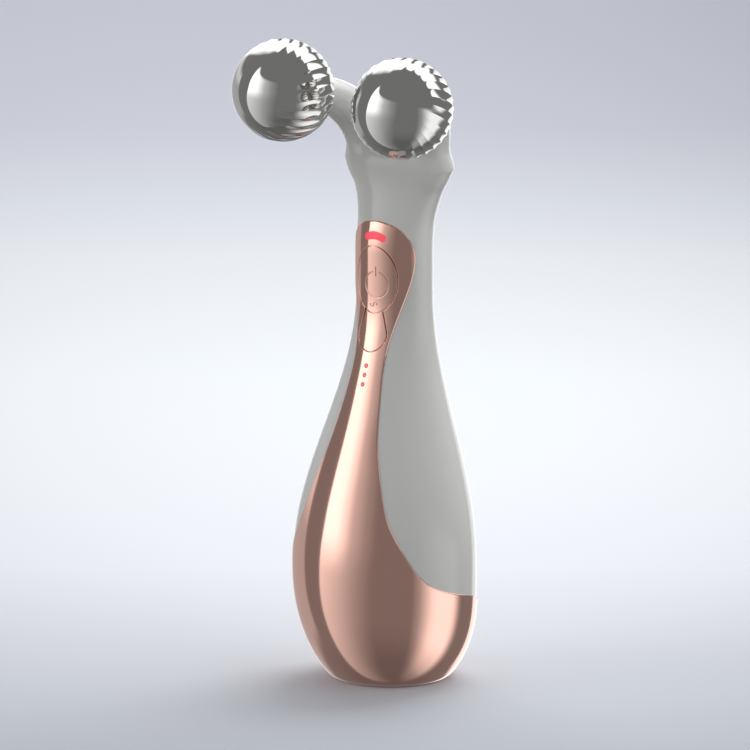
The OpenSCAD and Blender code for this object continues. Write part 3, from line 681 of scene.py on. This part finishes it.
def level_glow(g):
    """Each round light is paler in its middle."""
    at = g.node("ShaderNodeSeparateXYZ", [g.place()], output="X")
    z = Wire(g, at.socket.node.outputs["Z"])
    across = at / MM
    along = ((z / MM - LEVEL_Z + LEVEL_PITCH / 2).math("MODULO", LEVEL_PITCH)) - LEVEL_PITCH / 2
    r = (across * across + along * along).math("SQRT")
    colour = g.blend(g.spread(r, 0.15, 0.6), (1.0, 0.24, 0.24), (0.62, 0.045, 0.055))
    return {"Base Color": colour, "Roughness": g.spread(g.noise(900.0), 0, 1, 0.2, 0.26),
            "Emission Color": colour, "Emission Strength": 0.5}


LEVEL = shaded("level_lens", level_glow)


def paint_nodes():
    """Every node of the frame gets the material of its slot."""
    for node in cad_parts.values():
        for i, old in enumerate(node.data.materials):
            node.data.materials[i] = BY_SLOT[old.name.split(".")[0]]


# ---- front cover
JOIN_Z = 15.0  # below this height the cup is made of plain rings
JOIN_N = 288
JOIN_ROWS = 10  # heights on the line up the back, from the rings to the edge
EDGE_ROLL, HOLE_ROLL, KEY_ROLL, WINDOW_ROLL = 0.45, 0.12, 0.16, 0.12
LEVEL_HOLE_ROLL, LEVEL_ROLL, LEVEL_N = 0.08, 0.1, 40
SKIN_CELL, KEY_CELL, WINDOW_CELL, LEVEL_CELL = 0.85, 0.5, 0.4, 0.2


def ring_chart(z):
    """Chart points once round the handle at a height, both ends at the back."""
    t = np.linspace(-np.pi, np.pi, JOIN_N + 1)
    return np.stack([t * mean_r(z), np.full_like(t, z)], 1)


def cover_rings(shell, off, heights, outwards):
    rows = []
    for z in heights:
        chart = ring_chart(z)
        normal = np.cross(*slopes(chart, off)) * outwards
        rows.append(shell.add(lift(chart, off), normal))
    for a, b in zip(rows, rows[1:]):
        shell.strip(*((a, b) if outwards > 0 else (b, a)), JOIN_N + 1, False)


def proud(chart):
    """The cover and all in it stand out from the white skin by this much."""
    return np.full(len(chart), COVER_PROUD)


def make_cover():
    shell = Shell()
    bottom = COVER_PROUD - COVER_WALL
    # edge: right half from the back up to the top, then the left half down again
    line = np.vstack([EDGE, (EDGE * [-1, 1])[::-1][1:]])
    last = rolled_edge(shell, line, False, EDGE_ROLL, proud, bottom)
    # the edges of the window's and the lights' openings lean over the rims of their lenses
    holes = []
    for outline in (hole_outline(), window_outline(FIT)):
        chart = resample(front_chart(outline, COVER_PROUD), OUTLINE_STEP)
        holes.append(rolled_edge(shell, chart, True, HOLE_ROLL, proud, bottom, straight=True))
    for i in range(3):
        ring = oval(LEVEL_R + FIT, LEVEL_R + FIT, LEVEL_Z + i * LEVEL_PITCH, LEVEL_N)
        holes.append(rolled_edge(shell, ring, True, LEVEL_HOLE_ROLL, proud, bottom))
    # plain borders: up and down the line at the back, and where the rings start
    zs = np.linspace(JOIN_Z, last[0, 1], JOIN_ROWS)[1:-1]
    seam = np.stack([np.pi * mean_r(zs), zs], 1)
    outer = np.vstack([ring_chart(JOIN_Z), seam, last, (seam * [-1, 1])[::-1]])
    fill(shell, outer, holes, [], proud, bottom, SKIN_CELL)
    low = [FOOT_GAP, 0.45, 0.7, 1.0, 1.4, 1.9, 2.5, 3.3, 4.3, 5.5, 7, 8.5, 10, 11.5, 13, 14,
           JOIN_Z]
    cover_rings(shell, COVER_PROUD, low, 1)
    cover_rings(shell, bottom, low, -1)
    chart = ring_chart(FOOT_GAP)
    down = np.tile([0, 0, -1.0], (len(chart), 1))
    a = shell.add(lift(chart, bottom), down)
    b = shell.add(lift(chart, COVER_PROUD), down)
    shell.strip(a, b, len(chart), False)
    return place(shell.make("front_cover_face", BY_SLOT["rose_metal"]), "handle", "rose_metal",
                 "front_cover")


# ---- keys
SIGN_R, SIGN_MID, SIGN_GAP = 4.0, np.array([0.7, 122.1]), 18.0
SIGN_BAR = (2.7, 5.4)  # from the sign's middle up
WAVE_Z, WAVE_R = 115.9, 0.6
SIGN_HALF_LINE, SIGN_DEEP = 0.17, 0.14
SIGN_CELL, SIGN_NEAR = 0.085, 0.34  # fine points, and how far from a stroke they reach


def arc_gap(p, mid, r, gap):
    """Distance to an arc round mid that is open for gap degrees each side of its top."""
    d = p - mid
    a = np.degrees(np.abs(np.arctan2(d[:, 0], d[:, 1])))
    on = np.abs(np.linalg.norm(d, axis=1) - r)
    end = mid + r * np.array([math.sin(math.radians(gap)), math.cos(math.radians(gap))])
    far = np.minimum(np.linalg.norm(p - end, axis=1),
                     np.linalg.norm(p - (end - mid) * [-1, 1] - mid, axis=1))
    return np.where(a > gap, on, far)


def bar_gap(p, a, b):
    """Distance to the straight line from a to b."""
    a, b = np.asarray(a, float), np.asarray(b, float)
    t = np.clip(((p - a) @ (b - a)) / ((b - a) @ (b - a)), 0, 1)
    return np.linalg.norm(p - a - t[:, None] * (b - a), axis=1)


def sign_gap(p):
    """Distance to the strokes of the signs on the power key."""
    out = arc_gap(p, SIGN_MID, SIGN_R, SIGN_GAP)
    out = np.minimum(out, bar_gap(p, *(SIGN_MID + [0, up] for up in SIGN_BAR)))
    for side in (-1, 1):  # a small wave below: it stands for the pulsing
        out = np.minimum(out, arc_gap((p - [side * WAVE_R, WAVE_Z]) * [1, -side], np.zeros(2),
                                      WAVE_R, 90))
    return out


def front_view(chart):
    """X and Z of chart points on the cover's skin."""
    u, z = chart[:, 0], chart[:, 1]
    return np.stack([np.sin(u / mean_r(z)) * (half_w(z) + COVER_PROUD), z], 1)


def engraved(chart):
    """The skin with the signs cut in."""
    depth = (sign_gap(front_view(chart)) - SIGN_HALF_LINE * 0.35) / (SIGN_HALF_LINE * 1.1)
    return proud(chart) - SIGN_DEEP * (1 - ease(depth))


def make_key(name, outline, node, body, signs):
    shell = Shell()
    chart = resample(front_chart(outline, COVER_PROUD), OUTLINE_STEP)
    bottom = COVER_PROUD - KEY_PLATE
    last = rolled_edge(shell, chart, True, KEY_ROLL, proud, bottom, step=KEY_STEP, straight=True)
    extra = []
    if signs:
        low, high = last.min(0), last.max(0)
        gx, gz = np.meshgrid(np.arange(low[0], high[0], SIGN_CELL),
                             np.arange(low[1], high[1], SIGN_CELL))
        jitter = 0.02 * (gz.ravel() * 11.7 % 1)  # no two rows of points line up
        extra = np.stack([gx.ravel() + jitter, gz.ravel()], 1)
        extra = extra[sign_gap(front_view(extra)) < SIGN_NEAR]
        extra = extra[inside(extra, last) & (gap_to(extra, last) > 0.1)]
    fill(shell, last, [], extra, engraved if signs else proud, bottom, KEY_CELL, bent=signs)
    return place(shell.make(name, BY_SLOT["key_metal"]), body, "key_metal", node)


def make_lights():
    shell = Shell()
    chart = resample(front_chart(window_outline(0), COVER_PROUD), OUTLINE_STEP)
    last = rolled_edge(shell, chart, True, WINDOW_ROLL, proud, LENS_LOW)
    fill(shell, last, [], [], proud, LENS_LOW, WINDOW_CELL)
    place(shell.make("status_window_face", BY_SLOT["red_lens"]), "handle", "red_lens",
          "status_window")
    shell = Shell()
    for i in range(3):
        ring = oval(LEVEL_R, LEVEL_R, LEVEL_Z + i * LEVEL_PITCH, LEVEL_N)
        last = rolled_edge(shell, ring, True, LEVEL_ROLL, proud, LENS_LOW)
        fill(shell, last, [], [], proud, LENS_LOW, LEVEL_CELL)
    place(shell.make("level_lens_faces", LEVEL), "handle", "red_lens", "level_lenses")


# ---- white body
def arm_points(t):
    """Points and directions of an arm's middle line, a curve through four points."""
    a, b, c, d = ARM_CURVE
    t = np.asarray(t, float)[:, None]
    s = 1 - t
    at = a * s**3 + b * 3 * t * s**2 + c * 3 * t**2 * s + d * t**3
    along = (b - a) * s**2 + (c - b) * 2 * t * s + (d - c) * t**2
    return at, unit(along)


ARM_T = np.linspace(0, 1, 160)
ARM_AT, ARM_ALONG = arm_points(ARM_T)
ARM_RADII = (ARM_R + (ARM_THICK - ARM_R) * ease(ARM_T / 0.6)
             - (ARM_THICK - ARM_THIN) * ease((ARM_T - 0.65) / 0.35))
TIP_FROM = 0.62  # from here on an arm is a plain tube
TUCK = 0.25  # how much thinner the even skin's arms are than these tubes
BLEND, BLEND_FROM_Z = 2.2, 145.0  # how wide the arms flow into the ridge, and above which height
BODY_LOW, FLAT_LOW = 15.0, 0.6
VOXEL = 0.75
BODY_N, ROUGH_ARM_N, ARM_N = 96, 32, 64
# under the cover the skin dives inwards, and sooner where the lower key nearly fills its width
DIVE, DIVE_FROM, DIVE_WIDE = 3.4, 0.6, 0.8
CLOSE_Z, CLOSE_H, CLOSE_SOONER, CLOSE_STEEPER = 101.0, 5.0, 0.3, 0.4
TIP_TURNS, TIP_ROLL = [0, 20, 40, 60, 80, 90], 0.6  # degrees, and the radius of an arm's end


def body_field(p):
    """Below 0 inside the handle and its crown, above 0 outside."""
    z = p[:, 2]
    zc = np.minimum(z, RIDGE_Z)
    y = p[:, 1] - middle_y(z)
    cap = np.maximum(z - RIDGE_Z, 0) / CROWN_H
    return np.sqrt((p[:, 0] / half_w(zc)) ** 2 + (y / half_d(zc)) ** 2 + cap**2) - 1


def steepness(field, p, h=0.01):
    """How fast a field grows along X, Y and Z."""
    return np.stack([(field(p + d) - field(p - d)) / (2 * h) for d in np.eye(3) * h], 1)


def body_gap(p):
    rise = np.linalg.norm(steepness(body_field, p), axis=1)
    return body_field(p) / np.maximum(rise, 1e-4)


def arm_gap(p):
    q = p.copy()
    q[:, 0] = np.abs(q[:, 0])
    out = np.full(len(q), FAR)
    thin = ARM_RADII - TUCK * ease((ARM_T - TIP_FROM) / 0.1)
    for a, b, ra, rb in zip(ARM_AT[:-1:3], ARM_AT[3::3], thin[:-1:3], thin[3::3]):
        t = np.clip(((q - a) @ (b - a)) / ((b - a) @ (b - a)), 0, 1)
        d = np.linalg.norm(q - a - t[:, None] * (b - a), axis=1) - (ra + (rb - ra) * t)
        out = np.minimum(out, d)
    return out


def white_gap(p):
    """Distance to the white skin, with the arms flowing into the ridge."""
    a, b, k = body_gap(p), arm_gap(p), BLEND
    h = np.clip(0.5 + 0.5 * (b - a) / k, 0, 1)
    both = b + (a - b) * h - k * h * (1 - h)
    return np.where(p[:, 2] > BLEND_FROM_Z, both, a)


def tube(rings, n):
    """Points and faces of a closed tube through rings of n points."""
    faces = []
    m = len(rings)
    for i in range(m - 1):
        for j in range(n):
            k = (j + 1) % n
            faces.append([i * n + j, i * n + k, (i + 1) * n + k, (i + 1) * n + j])
    faces.append(list(range(n))[::-1])
    faces.append([(m - 1) * n + j for j in range(n)])
    return np.vstack(rings), faces


def ring_round(mid, along, r, n):
    u = unit(np.cross([1.0, 0, 0], along))
    v = np.cross(along, u)
    a = np.arange(n) * 2 * np.pi / n
    return mid + r * (np.outer(np.cos(a), u) + np.outer(np.sin(a), v))


def plain_union():
    """Points and faces of the handle and the arms in one, made even with small cubes."""
    t = np.linspace(0, 2 * np.pi, BODY_N + 1)[:-1]
    zs = np.r_[np.linspace(BODY_LOW, RIDGE_Z, 120), RIDGE_Z + CROWN_H * np.sin(
        np.radians(np.linspace(8, 86, 12)))]
    rings = []
    for z in zs:
        c = math.sqrt(max(0.0, 1 - (max(z - RIDGE_Z, 0) / CROWN_H) ** 2))
        zc = min(z, RIDGE_Z)
        w, d = half_w(zc) * c, half_d(zc) * c
        rings.append(np.stack([w * np.sin(t), middle_y(z) - d * np.cos(t), np.full_like(t, z)], 1))
    points, faces = tube(rings, BODY_N)
    all_points, all_faces = [points], list(faces)
    count = len(points)
    keep = np.where(ARM_T <= TIP_FROM + 0.2)[0][::4]
    for side in (-1, 1):
        rings = [ring_round(ARM_AT[i], ARM_ALONG[i], ARM_RADII[i] - 0.1, ROUGH_ARM_N)
                 * [side, 1, 1] for i in keep]
        points, faces = tube(rings, ROUGH_ARM_N)
        all_points.append(points)
        all_faces += [[i + count for i in f[::side]] for f in faces]
        count += len(points)
    mesh = bpy.data.meshes.new("white_raw")
    mesh.from_pydata(np.vstack(all_points).tolist(), [], all_faces)
    bm = bmesh.new()
    bm.from_mesh(mesh)
    bmesh.ops.recalc_face_normals(bm, faces=bm.faces)
    bm.to_mesh(mesh)
    bm.free()
    raw = bpy.data.objects.new("white_raw", mesh)
    bpy.context.scene.collection.objects.link(raw)
    mod = raw.modifiers.new("even", "REMESH")
    mod.mode = "VOXEL"
    mod.voxel_size = VOXEL
    bpy.context.view_layer.update()
    even = bpy.data.meshes.new_from_object(raw.evaluated_get(
        bpy.context.evaluated_depsgraph_get()))
    bpy.data.objects.remove(raw)
    points = np.zeros(len(even.vertices) * 3)
    even.vertices.foreach_get("co", points)
    faces = [list(f.vertices) for f in even.polygons]
    bpy.data.meshes.remove(even)
    return points.reshape(-1, 3), faces


def dive(p):
    """How far points of the skin go in under the cover."""
    zc = np.minimum(p[:, 2], RIDGE_Z)
    turn = np.arctan2(p[:, 0] / half_w(zc), -(p[:, 1] - middle_y(p[:, 2])) / half_d(zc))
    chart = np.stack([np.abs(turn) * mean_r(p[:, 2]), p[:, 2]], 1)
    region = np.vstack([EDGE, [[-1.0, COVER_TOP_Z]], [[-1.0, 0.0]], [[99.0, 0.0]]])
    deep = np.where(inside(chart, region), gap_to(chart, EDGE), 0)
    deep = np.where(chart[:, 0] > math.pi * mean_r(p[:, 2]) - 1e-6, 0, deep)
    close = np.exp(-((p[:, 2] - CLOSE_Z) / CLOSE_H) ** 2)
    return DIVE * ease((deep - DIVE_FROM + CLOSE_SOONER * close)
                       / (DIVE_WIDE - CLOSE_STEEPER * close))


def arm_end(shell, side):
    """A plain tube round the outer part of an arm, with a rounded end."""
    mirror = [side, 1, 1]
    start = np.searchsorted(ARM_T, TIP_FROM - 0.04)
    rings = [(ARM_AT[i], ARM_ALONG[i], ARM_RADII[i] + 0.004, 0.0)
             for i in range(start, len(ARM_T) - 4, 2)]
    end, along = ARM_AT[-1], ARM_ALONG[-1]
    for a in np.radians(TIP_TURNS):
        rings.append((end - along * TIP_ROLL * (1 - math.sin(a)), along,
                      ARM_THIN - TIP_ROLL * (1 - math.cos(a)), a))
    rows = []
    for mid, along, r, a in rings:
        ring = ring_round(mid, along, r, ARM_N)
        normal = unit(ring - mid) * math.cos(a) + along * math.sin(a)
        rows.append(shell.add(ring * mirror, normal * mirror))
    for a, b in zip(rows, rows[1:]):
        shell.strip(*((a, b) if side > 0 else (b, a)), ARM_N, True)
    for ring_start, flip in ((rows[0], -1), (rows[-1], 1)):
        points = np.vstack(shell.points)[ring_start:ring_start + ARM_N]
        along = rings[0 if flip < 0 else -1][1]
        s = shell.add(points, np.tile(along * flip * mirror, (ARM_N, 1)))
        shell.faces.append(list(range(s, s + ARM_N))[::flip * side])


def make_white():
    p, faces = plain_union()
    flat = p[:, 2] < BODY_LOW + FLAT_LOW  # the end inside the cup stays flat
    for _ in range(4):
        step = np.clip(white_gap(p), -0.8, 0.8)[:, None] * unit(steepness(white_gap, p))
        p = np.where(flat[:, None], p, p - step)
    normal = unit(steepness(white_gap, p))
    shell = Shell()
    shell.add(p - normal * dive(p)[:, None], normal)
    shell.faces = faces
    for side in (-1, 1):
        arm_end(shell, side)
    return place(shell.make("white_body", BY_SLOT["white_shell"]), "handle", "white_shell",
                 "left_housing", "right_housing")


# ---- balls
def ball_depth(colat, across):
    """How deep the ball's skin lies below its sphere. across is 0 to 1 over one flute."""
    deep = FLUTE_DEPTH * ease((colat - CAP_ANGLE) / (FULL_ANGLE - CAP_ANGLE))
    return deep * (1 - (2 * across - 1) ** 2) * (1 - ease((colat - FADE_ANGLE) / FADE_WIDE))


def make_ball(side, name, node, body):
    """side is -1 or 1. The flutes of the two balls lean opposite ways."""
    colat = np.r_[np.linspace(0, CAP_ANGLE - 1, 26),
                  np.linspace(CAP_ANGLE - 1, CAP_ANGLE + 12, 40)[1:],
                  np.linspace(CAP_ANGLE + 12, BACK_ANGLE, 64)[1:]]
    axis, mid = BALL_AXIS * [side, 1, 1], BALL_MID * [side, 1, 1]
    u = unit(np.cross([0.0, 0, 1], axis))
    v = np.cross(axis, u)
    lean = -math.tan(math.radians(TWIST)) * side

    def spoke(c, share):
        """Way out from the axle at colatitude c (degrees) and flute number share."""
        a = 2 * np.pi * share / FLUTES + lean * np.log(
            np.tan(np.clip(np.radians(c), 0.3, 2.8) / 2))
        return np.cos(a)[..., None] * u + np.sin(a)[..., None] * v

    def surface(c, whole, across):
        cr = np.radians(c)
        d = np.cos(cr)[..., None] * axis + np.sin(cr)[..., None] * spoke(c, whole + across)
        return mid + (BALL_R - ball_depth(c, across))[..., None] * d

    shell = Shell()
    width = FLUTE_COLS + 1
    c, s = np.meshgrid(colat, np.linspace(0, 1, width), indexing="ij")
    e, h = 0.01, 0.004  # small steps in colatitude and across a flute
    c0, c1 = np.clip(c - e, 0.001, 170), np.clip(c + e, 0.001, 170)
    s0, s1 = np.clip(s - h, 0, 1), np.clip(s + h, 0, 1)
    for k in range(FLUTES):
        p = surface(c, k, s)
        normal = np.cross(surface(c1, k, s) - surface(c0, k, s),
                          surface(c, k, s1) - surface(c, k, s0))
        normal = np.where(c[..., None] < 0.5, axis, normal)
        inwards = (normal * (p - mid)).sum(-1, keepdims=True) < 0
        normal = np.where(inwards, -normal, normal)
        start = shell.add(p.reshape(-1, 3), unit(normal).reshape(-1, 3))
        for i in range(len(colat) - 1):
            for a in range(start + i * width, start + i * width + FLUTE_COLS):
                shell.faces.append([a, a + width, a + width + 1, a + 1])
    # the back closes towards the hub
    total = FLUTES * FLUTE_COLS
    out = spoke(np.full(total, colat[-1]), np.arange(total) / FLUTE_COLS)
    back = math.radians(BACK_ANGLE)
    foot = mid + math.cos(back) * BALL_R * axis
    base = foot + math.sin(back) * BALL_R * out
    lip = foot + (HUB_R + HUB_FIT) * out
    deep = lip + axis * HUB_SINK
    rearward = np.tile(-axis, (total, 1))
    for a, b, normal in ((base, lip, rearward), (lip, deep, -out)):
        shell.strip(shell.add(a, normal), shell.add(b, normal), total, True)
    rim = shell.add(deep, rearward)
    middle = shell.add((foot + axis * HUB_SINK)[None], -axis[None])
    shell.faces += [[rim + j, rim + (j + 1) % total, middle] for j in range(total)]
    return place(shell.make(name, BY_SLOT["chrome"], 6), body, "chrome", node)


# ---- stage
PER_ROW = 0.3 / math.sin(VIEW_EL) * MM  # metres of floor for a row of the view
FLOOR_HALF, FLOOR_GLOW, FLOOR_BOUNCE = 2.0, 0.08, 0.32
HALF_VIEW = 0.108  # metres of floor from the middle of the view to its side
CLEAR_FROM, CLEAR_TO = 0.0165, 0.0172  # metals mirror the floor only within this way (metres)
# rows of the view above the origin, with the tone there: painted light that is darker near the
# front and far back, palest in the middle distance
FLOOR_TONES = [(-100, (190, 194, 205)), (-10, (202, 206, 213)), (110, (224, 227, 233)),
               (300, (235, 239, 243)), (420, (236, 240, 245)), (550, (222, 225, 237))]


def make_floor():
    """A pale floor with painted light: it brightens and dims again with the distance, and dims
    towards the sides.
    """
    h = FLOOR_HALF
    mesh = bpy.data.meshes.new("floor")
    mesh.from_pydata([(-h, -h, 0), (h, -h, 0), (h, h, 0), (-h, h, 0)], [], [(0, 1, 2, 3)])
    low, high = FLOOR_TONES[0][0] * PER_ROW, FLOOR_TONES[-1][0] * PER_ROW

    def build(g):
        at = g.place()
        away = g.along(at, -TO_CAMERA)
        across = g.along(at, TO_RIGHT) / HALF_VIEW
        share = g.spread(away + g.noise(6.0) * 0.004, low, high)
        tone = g.ramp(share, [((row * PER_ROW - low) / (high - low), srgb(*colour))
                              for row, colour in FLOOR_TONES])
        # painted light: the floor's tone dims towards the sides of the view, most to the right
        edge = (across * across * -0.055 - across * 0.059).math("MAXIMUM", -0.2) + 1
        tone = g.node("ShaderNodeVectorMath", {0: tone, "Scale": edge}, operation="SCALE")
        path = g.tree.nodes.new("ShaderNodeLightPath")
        glossy = Wire(g, path.outputs["Is Glossy Ray"])
        seen = (Wire(g, path.outputs["Is Camera Ray"]) + glossy
                + Wire(g, path.outputs["Is Transmission Ray"]))
        far = g.node("ShaderNodeVectorMath", [at], output="Value", operation="LENGTH")
        return {"Base Color": g.blend(seen, (FLOOR_BOUNCE,) * 3, tone), "Roughness": 0.9,
                "Specular IOR Level": 0.0, "Emission Color": g.blend(seen, (0, 0, 0), tone),
                "Emission Strength": FLOOR_GLOW,
                "clear": glossy * g.spread(far, CLEAR_FROM, CLEAR_TO)}

    floor = bpy.data.objects.new("floor", mesh)
    mesh.materials.append(shaded("floor", build))
    bpy.context.scene.collection.objects.link(floor)


BRIGHTEST = 2.5  # a ramp's white stands for this strength


def make_world():
    """A dark front, a tall soft light on each side and a bright back, by turn and rise (degrees)
    from the way to the camera. Stops are an angle and a strength."""
    world = bpy.data.worlds.new("studio")
    bpy.context.scene.world = world
    world.use_nodes = True
    g = Graph(world.node_tree)
    way = g.node("ShaderNodeTexCoord", output="Generated")

    def soft(x, a, b):
        """0 at a and 1 at b."""
        return g.spread(x, a, b, kind="SMOOTHSTEP")

    def levels(x, *stops):
        tone = g.ramp((x + 180) / 360,
                      [((a + 180) / 360, (v / BRIGHTEST,) * 3) for a, v in stops])
        return g.node("ShaderNodeRGBToBW", [tone]) * BRIGHTEST

    turn = g.along(way, TO_RIGHT).math("ARCTAN2", g.along(way, TO_CAMERA)) * (180 / math.pi)
    rise = g.along(way, (0, 0, 1)).math("ARCSINE") * (180 / math.pi)
    level = soft(rise, 14, 6)  # nothing above the horizon
    room = levels(rise, (-80, 0.15), (-66, 0.155), (-50, 0.2), (-36, 0.225))

    # left: a sharp outer edge that leans, dim below and bright above
    lean = turn - (rise.math("MINIMUM", 5) + 13) * 0.2
    low = levels(lean, (-89.5, 0), (-88.6, 0.76), (-73, 0.62), (-58, 0.45), (-44, 0.25),
                 (-31, 0.12), (-16, 0))
    low *= levels(rise, (-85, 0.1), (-70, 0.35), (-40, 0.75), (-13, 1.0))
    tight = (lean + 89.5) * (soft(rise, 26, 42) * 0.9 + 1) - 89.5
    high = levels(tight, (-89.5, 0), (-88.6, 1.7), (-68, 1.5), (-48, 0.45), (-30, 0.15),
                  (-14, 0))
    high *= soft(rise + (turn + 88) * (turn + 88) * soft(rise, 28, 42) * 0.035, 50, 42)
    left = low + (soft(rise, -14, 8) * (high - low))

    # right: soft on both sides, with a top that slopes down outwards
    right = levels(turn, (34, 0), (45, 0.2), (54, 0.55), (63, 0.95), (72, 1.12), (95, 1.1),
                   (101, 0.7), (107, 0.2), (112, 0))
    right *= soft(rise + (turn - 45) * 0.3, 15, 7)
    right *= levels(rise, (-82, 0.0), (-70, 0.18), (-55, 0.65), (-42, 1.0))

    # behind: the pale wall, which outlines the metal, and its brighter parts
    behind = levels(turn, (-180, 0.26), (-119, 0.26), (-118, 0), (144, 0), (145, 1.0),
                    (166, 1.1), (180, 1.5)) * soft(rise, -38, -28) * level
    rim = levels(turn, (-180, 0.6), (-168, 0.4), (-161, 0)) * soft(rise, -30, -14) * level
    beside = levels(turn, (-180, 0.3), (-119, 0.3), (-118, 0)) * soft(rise, -5, 5) * soft(
        rise, 16, 8)

    # above it: one light on each side, both with slanting lower or upper edges
    back_left = levels(turn, (-152, 1.5), (-130, 0), (160, 0), (179, 1.5))
    back_left *= soft(rise - (turn + 165).math("MAXIMUM", 0) * 1.3, -3, 7) * soft(rise, 66, 60)
    eaves = levels(turn, (86, 0.2), (90, 0.33), (103, 0.51), (130, 0.58), (170, 0.62)) * 100
    back_right = levels(turn, (86, 0), (91, 1.4)) * soft(rise, 18, 26) * soft(rise - eaves, 2, -2)

    light = left + right + behind + rim + beside + back_left + back_right + room
    back = g.node("ShaderNodeBackground", {"Color": (1, 1, 1), "Strength": light})
    g.node("ShaderNodeOutputWorld", [back], output=None)


def make_lamp(name, across, back, up, size, power):
    """A broad round lamp that faces the origin."""
    lamp = bpy.data.lights.new(name, "AREA")
    lamp.shape = "DISK"
    lamp.size = size
    lamp.energy = power
    obj = bpy.data.objects.new(name, lamp)
    bpy.context.scene.collection.objects.link(obj)
    way = Vector((*(TO_RIGHT * across - TO_CAMERA * back)[:2], up))
    obj.location = way
    obj.rotation_euler = way.to_track_quat("Z", "Y").to_euler()
    obj.visible_glossy = False


def make_camera():
    cam = bpy.data.cameras.new("camera")
    cam.type = "ORTHO"
    cam.ortho_scale = VIEW_SIZE
    cam.clip_end = 10
    obj = bpy.data.objects.new("camera", cam)
    bpy.context.scene.collection.objects.link(obj)
    target = Vector(VIEW_TARGET)
    way = Vector((*(TO_CAMERA[:2] * math.cos(VIEW_EL)), math.sin(VIEW_EL)))
    obj.location = target + way * CAMERA_FAR
    obj.rotation_euler = way.to_track_quat("Z", "Y").to_euler()
    bpy.context.scene.camera = obj


paint_nodes()
make_cover()
make_key("power_key_face", resample(oval(POWER_HALF_W, POWER_HALF_H, POWER_Z), 0.1), "power_key",
         "power_button", True)
make_key("mode_key_face", soften(resample(mode_outline(0, lambda x: power_low(x, KEY_GAP) - 0.02),
                                          0.1), 4), "mode_key", "mode_button", False)
make_lights()
make_white()
make_ball(-1, "left_ball_face", "left_ball", "left_roller")
make_ball(1, "right_ball_face", "right_ball", "right_roller")
make_floor()
make_world()
make_lamp("back_lamp", 0.18, 0.3, 0.5, 0.45, 1.6)  # its soft shadow falls to the front left
make_lamp("front_lamp", 0.6, -0.35, 0.6, 0.9, 1.7)
make_camera()
bpy.context.scene.view_settings.view_transform = "Standard"
